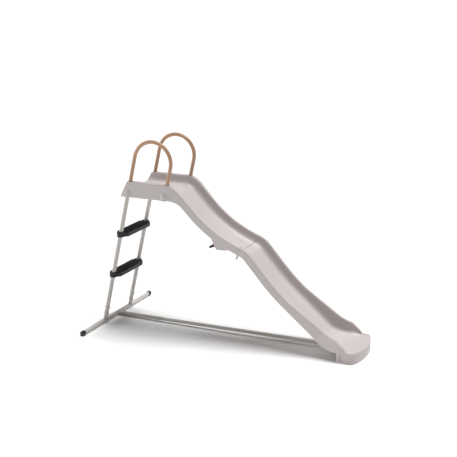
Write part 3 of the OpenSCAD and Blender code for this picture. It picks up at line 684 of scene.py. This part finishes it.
def wear_group():
    """Faint rubbed streaks: a mask, and the colour with the streaks in it."""
    tree, ready = group("rubbed_wear", [("Colour", COLOUR), ("Worn Colour", COLOUR), ("Amount", FLOAT),
                                        ("Stretch", "NodeSocketVector")],
                        [("Colour", COLOUR), ("Mask", FLOAT)])
    if ready:
        return tree
    a, z = node(tree, "NodeGroupInput"), node(tree, "NodeGroupOutput")
    place = node(tree, "ShaderNodeTexCoord").outputs["Object"]
    squash = node(tree, "ShaderNodeVectorMath", operation="MULTIPLY")
    tree.links.new(place, squash.inputs[0])
    tree.links.new(a.outputs["Stretch"], squash.inputs[1])
    streak = noise(tree, squash.outputs[0], 60.0, 4.0, 0.7)
    blot = noise(tree, place, 9.0, 2.0, 0.5)
    steep = maths(tree, "MULTIPLY", maths(tree, "SUBTRACT", streak, 0.56), 7.0)
    fine = maths(tree, "SMOOTH_MIN", steep, 1.0, 0.2)
    wide = maths(tree, "MULTIPLY", maths(tree, "SUBTRACT", blot, 0.42), 4.0)
    mask = maths(tree, "MULTIPLY", maths(tree, "MAXIMUM", fine, 0.0),
                 maths(tree, "MINIMUM", maths(tree, "MAXIMUM", wide, 0.0), 1.0))
    mask = maths(tree, "MULTIPLY", mask, a.outputs["Amount"])
    blend = node(tree, "ShaderNodeMix", data_type="RGBA")
    tree.links.new(mask, blend.inputs["Factor"])
    tree.links.new(a.outputs["Colour"], blend.inputs["A"])
    tree.links.new(a.outputs["Worn Colour"], blend.inputs["B"])
    tree.links.new(blend.outputs["Result"], z.inputs["Colour"])
    tree.links.new(mask, z.inputs["Mask"])
    return tree


def finish_of(name, base, shade, scale, roughness, spread, bump, distance, worn=None, amount=0.1,
              stretch=(1.0, 1.0, 1.0), metallic=0.0, coat=0.0, coat_roughness=0.3, specular=0.5):
    name = f"{name}_finish"
    made = bpy.data.materials.get(name)
    if made:
        return made
    m = bpy.data.materials.new(name)
    m.use_nodes = True
    tree = m.node_tree
    shader = tree.nodes["Principled BSDF"]
    grain = node(tree, "ShaderNodeGroup", node_tree=grain_group())
    grain.inputs["Colour"].default_value = (*base, 1)
    for key, value in (("Shade", shade), ("Grain Scale", scale), ("Roughness", roughness),
                       ("Spread", spread)):
        grain.inputs[key].default_value = value
    colour_out = grain.outputs["Colour"]
    if worn:
        wear = node(tree, "ShaderNodeGroup", node_tree=wear_group())
        wear.inputs["Worn Colour"].default_value = (*worn, 1)
        wear.inputs["Amount"].default_value = amount
        wear.inputs["Stretch"].default_value = stretch
        tree.links.new(colour_out, wear.inputs["Colour"])
        colour_out = wear.outputs["Colour"]
    tree.links.new(colour_out, shader.inputs["Base Color"])
    tree.links.new(grain.outputs["Roughness"], shader.inputs["Roughness"])
    lift = node(tree, "ShaderNodeBump")
    lift.inputs["Strength"].default_value = bump
    lift.inputs["Distance"].default_value = distance
    tree.links.new(grain.outputs["Height"], lift.inputs["Height"])
    tree.links.new(lift.outputs["Normal"], shader.inputs["Normal"])
    shader.inputs["Metallic"].default_value = metallic
    shader.inputs["Coat Weight"].default_value = coat
    shader.inputs["Coat Roughness"].default_value = coat_roughness
    shader.inputs["Specular IOR Level"].default_value = specular
    m.diffuse_color = (*base, 1)
    return m


def palette(name):
    c = bpy.context.scene.slide_colours
    if name == "chute_plastic":
        return finish_of(name, c.chute, 0.05, 900.0, 0.46, 0.10, 0.10, 0.0004,
                         worn=[min(1, v * 1.1) for v in c.chute], amount=0.25, stretch=(0.25, 3.0, 0.25))
    if name == "frame_paint":
        return finish_of(name, c.tube, 0.05, 700.0, 0.38, 0.12, 0.12, 0.0003,
                         worn=[v * 0.8 for v in c.tube], amount=0.2, stretch=(1, 1, 0.3), coat=0.15)
    if name == "handle_paint":
        return finish_of(name, c.handle, 0.06, 700.0, 0.36, 0.12, 0.12, 0.0003,
                         worn=[min(1, v * 1.15) for v in c.handle], amount=0.25, coat=0.2)
    if name == "tread_plastic":
        return finish_of(name, c.tread, 0.25, 620.0, 0.55, 0.25, 0.35, 0.0006,
                         worn=[v * 2.2 for v in c.tread], amount=0.35)
    if name == "cap_plastic":
        return finish_of(name, c.cap, 0.2, 800.0, 0.42, 0.2, 0.15, 0.0003)
    if name == "fitting_plastic":
        return finish_of(name, c.cap, 0.2, 900.0, 0.36, 0.2, 0.15, 0.0003)
    if name == "seal_rubber":
        return finish_of(name, c.seal, 0.2, 500.0, 0.7, 0.2, 0.2, 0.0004)
    return finish_of("zinc_steel", c.zinc, 0.12, 1500.0, 0.34, 0.3, 0.12, 0.0002, metallic=1.0,
                     worn=[v * 0.6 for v in c.zinc], amount=0.3)


def settle(ob, slot, *nodes):
    """Gives a piece its finish, its body and the CAD nodes it stands for."""
    ob.data.materials.clear()
    ob.data.materials.append(palette(slot))
    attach(ob, "root")
    if nodes:
        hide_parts(*nodes)
    return ob


def dress(slot, *nodes):
    """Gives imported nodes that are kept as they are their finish."""
    for n in nodes:
        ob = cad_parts[n]
        ob.data.materials.clear()
        ob.data.materials.append(palette(slot))


# ---------------------------------------------------------------- places

def on_leg(side, along, forward=0.0, out=0.0):
    """A point on a leg: along its axis from the ground tube, forward of it, and out to its side."""
    c, s = math.cos(LEAN), math.sin(LEAN)
    return Vector((along * s + forward * c, side * (LEG_Y + out), LEG_FOOT_Z + along * c - forward * s))


def joint_place(along, y, up):
    """A place on the overlap: this far down it, at this height square to the floor, facing up."""
    x, z, slope = (float(v[0]) for v in LINE.place(np.array([AT["lap"] + along])))
    a = math.radians(slope)
    return facing((x + up * math.sin(a), y, z + up * math.cos(a)), (math.sin(a), 0, math.cos(a)))


def along_leg(z, forward=0.0):
    return (z - LEG_FOOT_Z + forward * math.sin(LEAN)) / math.cos(LEAN)


def leg_x(z):
    return (z - LEG_FOOT_Z) * math.tan(LEAN)


LEG_AXIS = Vector((math.sin(LEAN), 0, math.cos(LEAN)))
LEG_FRONT = Vector((math.cos(LEAN), 0, -math.sin(LEAN)))
BRACKET_X = FOOT_X + 46
TIE_LENGTH = math.hypot(BRACKET_X, 37 - LEG_FOOT_Z)
TIE_AXIS = Vector((BRACKET_X, 0, 37 - LEG_FOOT_Z)).normalized()


# ---------------------------------------------------------------- stock forms

def pipe(d, low, high):
    """A tube along +Z with softened ends."""
    r, bore = d / 2, d / 2 - TUBE_WALL
    profile = [(r, (low + high) / 2), (r, high), (bore, high), (bore, low), (r, low)]
    return lathe(rounded(ring_profile(profile), 0.5, 3), 72)


def hexagon(r):
    """Turns a round form's radius near r into a hexagon's with that corner radius."""
    def reach(t, radius, h):
        flat = r * math.cos(math.pi / 6) / math.cos((t + math.pi / 6) % (math.pi / 3) - math.pi / 6)
        return min(radius, flat) if radius > 0.62 * r else radius
    return reach


def hex_bolt(length):
    """A bolt from its seat at the origin along +Z: chamfered hexagon head, shank and threaded end."""
    r = 5.5
    head = [(0, -4), (4.3, -4), (4.9, -3.6), (r, -2.9), (r, -0.8), (r - 0.6, -0.4), (5.0, 0), (0, 0)]
    shank = [(0, -0.2), (3, -0.2), (3, length - 12)]
    for k in range(10):
        z = length - 11.5 + k * 1.05
        shank += [(2.55, z), (3.0, z + 0.5)]
    shank += [(2.4, length), (0, length)]
    return [lathe(head, 60, hexagon(6.0)), lathe(shank, 24)]


def hex_nut(seat, r=5.75, bore=3.05, height=5):
    """A nut with chamfered corners and a locking ring, from its seat along +Z."""
    top = seat + height
    outer = [(bore, seat), (r - 0.7, seat), (r, seat + 0.7), (r, top - 1.7), (r - 0.8, top - 1.1),
             (bore + 1.5, top - 0.9), (bore + 1.2, top), (bore, top)]
    return lathe(ring_profile(outer), 60, hexagon(r))


def button_screw(d, length):
    """A low round head with a hexagon socket, from its seat at the origin along +Z."""
    head = [(0, -0.9), (2.0, -1.0), (2.1, -2.5), (3.4, -2.55), (4.9, -2.0), (6.1, -0.9), (6.4, -0.2),
            (6.3, 0), (0, 0)]
    shank = [(0, -0.1), (d / 2, -0.1), (d / 2, length - 1), (d / 2 - 0.6, length), (0, length)]
    return [lathe(rounded(head, 0.3, 2), 48, hexagon(2.0 * 1.15)), lathe(shank, 24)]


def pan_screw(d, length):
    """A domed head with a cross recess, from its seat at the origin along +Z."""
    def cross(t, r, h):
        return r * (1 + 0.55 * abs(math.cos(2 * t)) ** 6) if r < 1.4 else r

    head = [(0, -1.0), (0.9, -1.1), (1.3, -2.2), (2.4, -2.1), (3.4, -1.5), (3.9, -0.7), (4.0, 0), (0, 0)]
    shank = [(0, -0.1), (d / 2, -0.1), (d / 2, length - 4), (0.3, length), (0, length)]
    return [lathe(head, 48, cross), lathe(shank, 24)]


def thumb_nut():
    """A lobed hand nut with a collar at its seat and a domed end, along +Z."""
    def lobes(t, r, h):
        return r * (1 - 0.16 * (0.5 - 0.5 * math.cos(8 * t)) ** 2) if h > 5 and r > 5 else r

    outer = [(3.1, 0), (6.8, 0), (7.0, 0.6), (7.0, 4.2), (8.0, 5.4), (8.0, 23), (7.2, 25), (5.2, 26), (0, 26),
             (0, 22.5), (3.1, 22.5)]
    return lathe(rounded(ring_profile(outer), 0.5, 3), 96, lobes)


# ---------------------------------------------------------------- operators

class SLIDE_OT_chute(bpy.types.Operator):
    """Builds the chute's two moulded halves"""

    bl_idname = "slide.chute"
    bl_label = "Chute"

    def seats(self, side):
        """The shallow seats of the screws and the bolt by the seam."""
        profile = rounded([(0, -0.9), (7.6, -0.9), (8.3, 0.4), (8.3, 3), (0, 3)], 0.3)
        for along, y, up in ((SCREW_RUN, RIM_BOLT_Y, WALL), (SCREW_RUN, FLOOR_SCREW_Y, 0),
                             (BOLT_RUN, RIM_BOLT_Y, WALL)):
            yield solid("seat", moved_form(lathe(profile, 40), joint_place(along, side * y, up)))

    def execute(self, context):
        s = spaced(0, AT["seam"], 5.0, fine=[(AT["box"] - 8, AT["box"] + 16, 1.2), (0, 300, 3.0)])
        upper = chute_mesh("upper_chute_moulding", s, upper_stations,
                           [(0, 1, 3.0, False), (AT["seam"], -1, 2.5, False)], 4.0)
        extra, holes = [], []
        for side in (-1, 1):
            for across, radius in ((0, 14.3), (HOOP_GAP, 12.8)):
                extra.append(solid("boss", boss(side, across)))
                low, high = along_leg(PLATFORM_Z - 30, across), along_leg(PLATFORM_Z + 22, across)
                socket = tube_along([on_leg(side, v, across) for v in (low, high)], radius, 64)
                rim = along_leg(RIM_Z, across)
                path = [on_leg(side, rim + v, across) for v in (-14, -4, 0, 6)]
                mouth = tube_along(path, 12.8, 64, ripple=lambda i: (1, 1, 1.13, 1.3)[i])
                holes.append(solid("bore", socket, mouth))
                at = (leg_x(BOSS_SCREW_Z) + across / math.cos(LEAN), side * (PLATFORM_HALF + 6), BOSS_SCREW_Z)
                well = lathe(rounded([(0, -1.2), (5, -1.2), (5, 4), (0, 4)], 0.5), 40)
                holes.append(solid("well", moved_form(well, facing(at, (0, side, 0)))))
        cut(upper, extra, "UNION")
        cut(upper, holes + [seat for side in (-1, 1) for seat in self.seats(side)])
        shaded(upper, 40)
        settle(upper, "chute_plastic", "upper_chute")
        start, end = AT["seam"] + 1, AT["exit"] + EXIT_LENGTH - 0.1
        foot = LINE.table[-1, 0] - 166 + 18
        s = spaced(start, end, 5.0, fine=[(foot - 8, foot + 8, 1.0), (end - 90, end - 8, 3.0)],
                   round_off=7.0)
        near = start + 2.5 * (1 - np.cos(np.linspace(0, math.pi / 2, 6)))
        s = np.unique(np.concatenate([near, s[s > near[-1] + 0.3]]))
        lower = chute_mesh("lower_chute_moulding", s, lower_stations,
                           [(start, 1, 2.5, False), (end, -1, 7.0, True)], 4.0, lip=True)
        t = np.linspace(-1, 1, 41)
        front = [(float(lip_front(v)) - 10, v * 169) for v in t]
        pockets = []
        for back, top in ((FOOT_X - 12, 50), (FOOT_X + 6, 60)):
            outline = [(back, -169.0), *front, (back, 169.0)]
            pockets.append(solid("pocket", slab(round_outline(outline, 5, 2), -30, top, 1, 6)))
        step = [(FOOT_X + 8, -FOOT_HALF), *[(float(lip_front(v)) + 1, v * FOOT_HALF) for v in t],
                (FOOT_X + 8, FOOT_HALF)]
        for z, r in ((13, 1.5), (19, 1.1)):
            pockets.append(solid("step", tube_along([(x, y, z) for x, y in step], r, 10)))
        well = lathe(rounded([(0, -1.6), (8, -1.6), (9, 0.6), (9, 4), (0, 4)], 0.4), 40)
        for side in (-1, 1):
            for z in FOOT_SCREW_HEIGHTS:
                place = facing((FOOT_X + 24, side * FOOT_HALF, z), (0, side, 0))
                pockets.append(solid("well", moved_form(well, place)))
        cut(lower, pockets)
        shaded(lower, 50)
        settle(lower, "chute_plastic", "lower_chute")
        return {"FINISHED"}


class SLIDE_OT_handles(bpy.types.Operator):
    """Builds the two hoop handles"""

    bl_idname = "slide.handles"
    bl_label = "Handles"

    def execute(self, context):
        sizes = context.scene.slide_sizes
        d, gap, rise = sizes.handle_diameter / MM, sizes.handle_spacing / MM, sizes.handle_rise / MM
        r = gap / 2
        centre = along_leg(RIM_Z + rise - d / 2 - r, r)
        rear, front = along_leg(LEG_TOP) - 80, along_leg(PLATFORM_Z + 12, gap)
        for side, name in ((-1, "near"), (1, "far")):
            path = [on_leg(side, v) for v in np.linspace(rear, centre, 14)[:-1]]
            path += [on_leg(side, centre + r * math.sin(a), r - r * math.cos(a))
                     for a in np.linspace(0, math.pi, 97)]
            path += [on_leg(side, v, gap) for v in np.linspace(centre, front, 12)[1:]]
            hoop = solid(f"hoop_handle_{name}", tube_along(path, d / 2, 48))
            settle(hoop, "handle_paint", f"handle_{name}")
        return {"FINISHED"}


class SLIDE_OT_treads(bpy.types.Operator):
    """Builds the ladder's two treads"""

    bl_idname = "slide.treads"
    bl_label = "Treads"

    def execute(self, context):
        sizes = context.scene.slide_sizes
        depth, thick = sizes.tread_depth / MM, sizes.tread_thickness / MM
        half = (sizes.leg_spacing / MM + 6) / 2
        low, gap = sizes.tread_height / MM, sizes.tread_spacing / MM
        for top, name in ((low, "lower"), (low + gap, "upper")):
            leg_at = leg_x(top - thick / 2)
            x0 = leg_at + 5
            c = 21.2
            corners = [(-depth / 2 + c, -half), (depth / 2 - c, -half), (depth / 2, -half + c),
                       (depth / 2, half - c), (depth / 2 - c, half), (-depth / 2 + c, half),
                       (-depth / 2, half - c), (-depth / 2, -half + c)]
            outline = round_outline(corners, 7, 5) + (x0, 0)
            body = solid("tread", slab(outline, top - thick, top, 2.5, 4.0))
            joined, pockets = [], []
            r = SLEEVE_RADIUS
            sleeve = lathe(rounded([(0, -2), (r, -2), (r, thick + 2), (0, thick + 2)], 2.6, 4), 64)
            for side in (-1, 1):
                place = Matrix.Translation((leg_at, side * LEG_Y, top - thick))
                joined.append(solid("sleeve", moved_form(sleeve, place)))
            run_half = half - 32
            box = [(-1.7, -run_half), (1.7, -run_half), (1.7, run_half), (-1.7, run_half)]
            for row in range(-3, 4):
                ribbed = round_outline(box, 1.6, 4) + (x0 + row * 11, 0)
                joined.append(solid("rib", slab(ribbed, top - 2, top + 1.5, 0.2, 1.2)))
            cut(body, joined, "UNION")
            cells = 8
            span = 2 * (half - 26)
            for k in range(cells):
                y0 = -half + 26 + span * k / cells + 1.2
                y1 = -half + 26 + span * (k + 1) / cells - 1.2
                for x_low, x_high in ((-depth / 2 + 4, -1.2), (1.2, depth / 2 - 4)):
                    box = [(x_low, y0), (x_high, y0), (x_high, y1), (x_low, y1)]
                    cell = slab(round_outline(box, 3, 3) + (x0, 0), top - thick - 5, top - 4, 0.2, 1.5, 3)
                    pockets.append(solid("cell", cell))
            well = lathe(rounded([(0, -8), (4.7, -8), (4.7, 3.4), (0, 3.4)], 0.5), 32)
            for side in (-1, 1):
                path = [on_leg(side, along_leg(top) - 70), on_leg(side, along_leg(top) + 50)]
                pockets.append(solid("bore", tube_along(path, sizes.leg_diameter / MM / 2 + 0.35, 64)))
                at = on_leg(side, along_leg(top - thick / 2), -SLEEVE_RADIUS)
                pockets.append(solid("well", moved_form(well, facing(at, LEG_FRONT))))
            cut(body, pockets)
            shaded(body, 35)
            body.name = body.data.name = f"{name}_tread_moulding"
            settle(body, "tread_plastic", f"{name}_tread")
        return {"FINISHED"}


class SLIDE_OT_ground_frame(bpy.types.Operator):
    """Builds the welded cross tube, its end caps and the tie tubes, and gives the bracket in the foot its
    finish
    """

    bl_idname = "slide.ground_frame"
    bl_label = "Ground frame"

    def bead(self, axis, radius, tube):
        """The path of the weld where a stub of this radius stands on the cross tube."""
        across = Vector((0, 1, 0))
        side = across.cross(axis).normalized()
        path = []
        for k in range(120):
            a = 2 * math.pi * k / 120
            rise = math.sqrt(max(tube ** 2 - (radius * math.sin(a)) ** 2, 0.0))
            path.append(across * (radius * math.cos(a)) + side * (radius * math.sin(a)) + axis * (rise + 0.6))
        return path

    def execute(self, context):
        sizes = context.scene.slide_sizes
        d, total = sizes.cross_diameter / MM, sizes.cross_length / MM
        foot = Vector((0, 0, LEG_FOOT_Z))
        for side, name in ((-1, "near"), (1, "far")):
            r = 16.5
            profile = [(0, 0), (10.5, 0), (12.5, 0.5), (15.2, 2.6), (r, 5.4)]
            for k in range(4):
                z = 10 + 4.4 * k
                profile += [(r, z), (r - 0.8, z + 0.7), (r - 0.8, z + 1.7), (r, z + 2.4)]
            profile += [(r, 27.4), (r - 0.5, 29.2), (r - 1.4, 30), (14.3, 30), (14.3, 26), (0, 26)]
            form = moved_form(lathe(rounded(profile, 0.5, 2), 64),
                              facing((0, side * total / 2, LEG_FOOT_Z), (0, -side, 0)))
            settle(solid(f"cross_tube_end_{name}", form), "cap_plastic", f"cross_tube_cap_{name}")

        def wave(i):
            return 1 + 0.22 * math.sin(i * 1.7) + 0.08 * math.sin(i * 0.61)

        welded = [moved_form(pipe(d, -total / 2 + 4, total / 2 - 4), facing(foot, (0, 1, 0)))]
        for side in (-1, 1):
            base = foot + Vector((0, side * LEG_Y, 0))
            welded.append(moved_form(pipe(25, 13, 137), facing(base, LEG_AXIS)))
            path = [q + base for q in self.bead(LEG_AXIS, 12.9, 14)]
            welded.append(tube_along(path, 1.9, 10, closed=True, ripple=wave))
        welded.append(moved_form(pipe(28, 10, 52), facing(foot, TIE_AXIS)))
        path = [q + foot for q in self.bead(TIE_AXIS, 13.85, 14)]
        welded.append(tube_along(path, 2.0, 10, closed=True, ripple=wave))
        settle(solid("ground_frame_weldment", *welded), "frame_paint", "base_frame")
        collar = lathe(ring_profile([(12.4, 341), (13.3, 341.6), (13.3, 344.2), (12.4, 344.8)]), 64)
        for name, size, low, high, extra in (("rear", 25, 19, 345, [collar]),
                                             ("front", 22, 285, TIE_LENGTH - 4, [])):
            forms = [moved_form(form, facing(foot, TIE_AXIS)) for form in (pipe(size, low, high), *extra)]
            settle(solid(f"tie_{name}", *forms), "frame_paint", f"tie_tube_{name}")
        dress("frame_paint", "foot_bracket")
        return {"FINISHED"}


class SLIDE_OT_ladder_legs(bpy.types.Operator):
    """Builds the two ladder legs"""

    bl_idname = "slide.ladder_legs"
    bl_label = "Ladder legs"

    def execute(self, context):
        d = context.scene.slide_sizes.leg_diameter / MM
        for side, name in ((-1, "near"), (1, "far")):
            base = Vector((0, side * LEG_Y, LEG_FOOT_Z))
            form = moved_form(pipe(d, 28, along_leg(LEG_TOP)), facing(base, LEG_AXIS))
            settle(solid(f"leg_{name}", form), "frame_paint", f"ladder_leg_{name}")
        return {"FINISHED"}


class SLIDE_OT_fasteners(bpy.types.Operator):
    """Builds the bolts, nuts, washers and screws"""

    bl_idname = "slide.fasteners"
    bl_label = "Fasteners"

    def gather(self, name, node_name, form, places):
        parts = [moved_form(part, place) for place in places for part in form]
        settle(solid(name, *parts, sharp=30), "zinc_steel", node_name)

    def execute(self, context):
        foot = Vector((0, 0, LEG_FOOT_Z))
        legs = [facing(on_leg(side, along_leg(z)) - LEG_FRONT * 14, LEG_FRONT, 0.4 * z)
                for side in (-1, 1) for z in (66, 111)]
        self.gather("leg_bolts", "leg_base_bolts", hex_bolt(36), legs)
        self.gather("leg_nuts", "leg_base_nuts", [hex_nut(28)], legs)
        bolts, nuts = [], []
        for i, (along, outer) in enumerate(((36, 28), (315, 25), (TIE_LENGTH - 24, 25))):
            place = facing(foot + TIE_AXIS * along - Vector((0, outer / 2, 0)), (0, 1, 0), 0.3 * i)
            bolts += [moved_form(part, place) for part in hex_bolt(outer + 7)]
            nuts.append(moved_form(hex_nut(outer), place))
        settle(solid("tie_cross_bolts", *bolts, sharp=30), "zinc_steel", "tie_bolts")
        settle(solid("tie_cross_nuts", *nuts, sharp=30), "zinc_steel", "tie_nuts")
        rim = [joint_place(BOLT_RUN, side * RIM_BOLT_Y, WALL + 0.3) for side in (-1, 1)]
        down = Matrix.Rotation(math.pi, 4, "X")
        self.gather("seam_bolts", "joint_bolts", button_screw(6, 79.5), [m @ down for m in rim])
        flat_ring = rounded(ring_profile([(3.3, 0), (8, 0), (8, 1.5), (3.3, 1.5)]), 0.3)
        self.gather("seam_washers", "joint_washers", [lathe(flat_ring, 48)],
                    [m @ down @ Matrix.Translation((0, 0, WALL)) for m in rim])
        self.gather("seam_thumb_nuts", "joint_nuts", [thumb_nut()],
                    [m @ down @ Matrix.Translation((0, 0, WALL + 1.5)) for m in rim])
        self.gather("seam_screws", "joint_screws", button_screw(4, 11),
                    [joint_place(SCREW_RUN, side * y, up) @ down for side in (-1, 1)
                     for y, up in ((RIM_BOLT_Y, WALL + 0.3), (FLOOR_SCREW_Y, 0.3))])
        treads = [facing(on_leg(side, along_leg(346 + k * 281), -SLEEVE_RADIUS) + LEG_FRONT * 2, LEG_FRONT, k)
                  for side in (-1, 1) for k in (0, 1)]
        self.gather("tread_fixings", "tread_screws", pan_screw(4, 12), treads)
        for across, name, node_name in ((0, "leg_top_fixings", "leg_top_screws"),
                                        (HOOP_GAP, "handle_fixings", "handle_screws")):
            x = leg_x(BOSS_SCREW_Z) + across / math.cos(LEAN)
            places = [facing((x, side * (PLATFORM_HALF + 5.4), BOSS_SCREW_Z), (0, -side, 0))
                      for side in (-1, 1)]
            self.gather(name, node_name, pan_screw(4, 25), places)
        places = [facing((FOOT_X + 24, side * FOOT_HALF, z), (0, -side, 0), z)
                  for side in (-1, 1) for z in FOOT_SCREW_HEIGHTS]
        self.gather("foot_bolts", "foot_screws", button_screw(6, 23), places)
        self.gather("foot_bolt_nuts", "foot_nuts", [hex_nut(15.2)], places)
        return {"FINISHED"}


class SLIDE_OT_water_inlet(bpy.types.Operator):
    """Builds the hose fitting and dresses the tube and nozzle behind it"""

    bl_idname = "slide.water_inlet"
    bl_label = "Water inlet"

    def execute(self, context):
        x, z, _ = (float(v[0]) for v in LINE.place(np.array([AT["box"] + 2])))
        z = float(LINE.place(np.array([AT["box"]]))[1][0]) - BELLY
        a = BOX_LEAN
        at = Vector((x + 18 * math.sin(a), -132.5, z - 18 * math.cos(a)))
        place = facing(at, (-math.cos(a), 0, -math.sin(a)))

        def grip(t, r, h):
            return r * (1 - 0.045 * (0.5 + 0.5 * math.cos(16 * t))) if 7 < h < 27 and r > 9 else r

        outer = [(2.3, -12.5), (3.5, -12.5), (3.5, -10), (6.7, -10), (6.7, 2), (13, 2), (13, 6), (11, 6),
                 (11, 28), (6.3, 28), (6.3, 34), (7.9, 34), (7.9, 46), (5.5, 54), (2.3, 54)]
        fitting = [moved_form(lathe(rounded(ring_profile(outer), 0.9, 4), 96, grip), place)]
        for h in (36.5, 40, 43.5):
            barb = ring_profile([(7.2, h - 1.2), (7.9, h + 0.6), (7.2, h + 1.2)])
            fitting.append(moved_form(lathe(barb, 64), place))
        settle(solid("hose_coupling", *fitting), "fitting_plastic", "hose_inlet")
        seal = lathe(rounded(ring_profile([(7, 0), (11.5, 0), (11.5, 2), (7, 2)]), 0.6, 4), 64)
        settle(solid("hose_seal", moved_form(seal, place)), "seal_rubber", "hose_inlet_washer")
        nut = moved_form(hex_nut(0, 9.4, 6.8, 6), place @ Matrix.Translation((0, 0, -9.6)))
        settle(solid("hose_back_nut", nut, sharp=30), "fitting_plastic", "hose_inlet_nut")
        dress("fitting_plastic", "spray_nozzle")
        dress("seal_rubber", "water_tube")
        return {"FINISHED"}


class SLIDE_OT_stage(bpy.types.Operator):
    """Builds the floor, the light and the camera"""

    bl_idname = "slide.stage"
    bl_label = "Stage"

    def lamp(self, name, energy, spread, direction):
        lamp = bpy.data.lights.new(name, "SUN")
        lamp.energy, lamp.angle = energy, math.radians(spread)
        ob = bpy.data.objects.new(name, lamp)
        ob.rotation_mode = "QUATERNION"
        ob.rotation_quaternion = Vector(direction).to_track_quat("-Z", "Y")
        bpy.context.scene.collection.objects.link(ob)

    def execute(self, context):
        scene = context.scene
        me = bpy.data.meshes.new("floor")
        reach = 400.0
        me.from_pydata([(-reach, -reach, 0), (reach, -reach, 0), (reach, reach, 0), (-reach, reach, 0)],
                       [], [(0, 1, 2, 3)])
        floor = bpy.data.objects.new("floor", me)
        scene.collection.objects.link(floor)
        m = bpy.data.materials.new("floor_white")
        m.use_nodes = True
        shader = m.node_tree.nodes["Principled BSDF"]
        shader.inputs["Base Color"].default_value = (0.95, 0.95, 0.95, 1)
        shader.inputs["Roughness"].default_value = 0.9
        shader.inputs["Specular IOR Level"].default_value = 0.1
        me.materials.append(m)
        world = bpy.data.worlds.new("studio")
        scene.world = world
        world.use_nodes = True
        back = world.node_tree.nodes["Background"]
        back.inputs["Color"].default_value = (1, 1, 1, 1)
        back.inputs["Strength"].default_value = 0.05
        self.lamp("top", 3.55, 34, (-0.14, -0.16, -1.0))
        self.lamp("left", 2.1, 24, (1.0, 0.15, -0.12))
        scene.view_settings.view_transform = "Standard"
        cam = bpy.data.cameras.new("camera")
        cam.lens, cam.sensor_width = 74.43, 36.0
        cam.clip_end = 1000
        ob = bpy.data.objects.new("camera", cam)
        ob.location = (2.3348, -5.248, 2.255)
        ob.rotation_mode = "QUATERNION"
        ob.rotation_quaternion = (Vector((-0.0412, 0, 0.7015)) - ob.location).to_track_quat("-Z", "Y")
        scene.collection.objects.link(ob)
        scene.camera = ob
        return {"FINISHED"}


class SLIDE_PT_panel(bpy.types.Panel):
    """Lists the slide's builders"""

    bl_idname = "SLIDE_PT_panel"
    bl_label = "Toddler slide"
    bl_space_type = "VIEW_3D"
    bl_region_type = "UI"
    bl_category = "Slide"

    def draw(self, context):
        for groups in (context.scene.slide_sizes, context.scene.slide_colours):
            for key in groups.__annotations__:
                self.layout.prop(groups, key)
        for op in OPERATORS:
            self.layout.operator(op.bl_idname)


OPERATORS = (SLIDE_OT_stage, SLIDE_OT_chute, SLIDE_OT_handles, SLIDE_OT_treads, SLIDE_OT_ladder_legs,
             SLIDE_OT_ground_frame, SLIDE_OT_fasteners, SLIDE_OT_water_inlet)
CLASSES = (SlideSizes, SlideColours, *OPERATORS, SLIDE_PT_panel)


def register():
    for c in CLASSES:
        bpy.utils.register_class(c)
    bpy.types.Scene.slide_sizes = bpy.props.PointerProperty(type=SlideSizes)
    bpy.types.Scene.slide_colours = bpy.props.PointerProperty(type=SlideColours)


def unregister():
    del bpy.types.Scene.slide_colours
    del bpy.types.Scene.slide_sizes
    for c in reversed(CLASSES):
        bpy.utils.unregister_class(c)


def main():
    register()
    for op in OPERATORS:
        getattr(bpy.ops.slide, op.bl_idname.split(".")[1])()


if __name__ == "__main__":
    main()
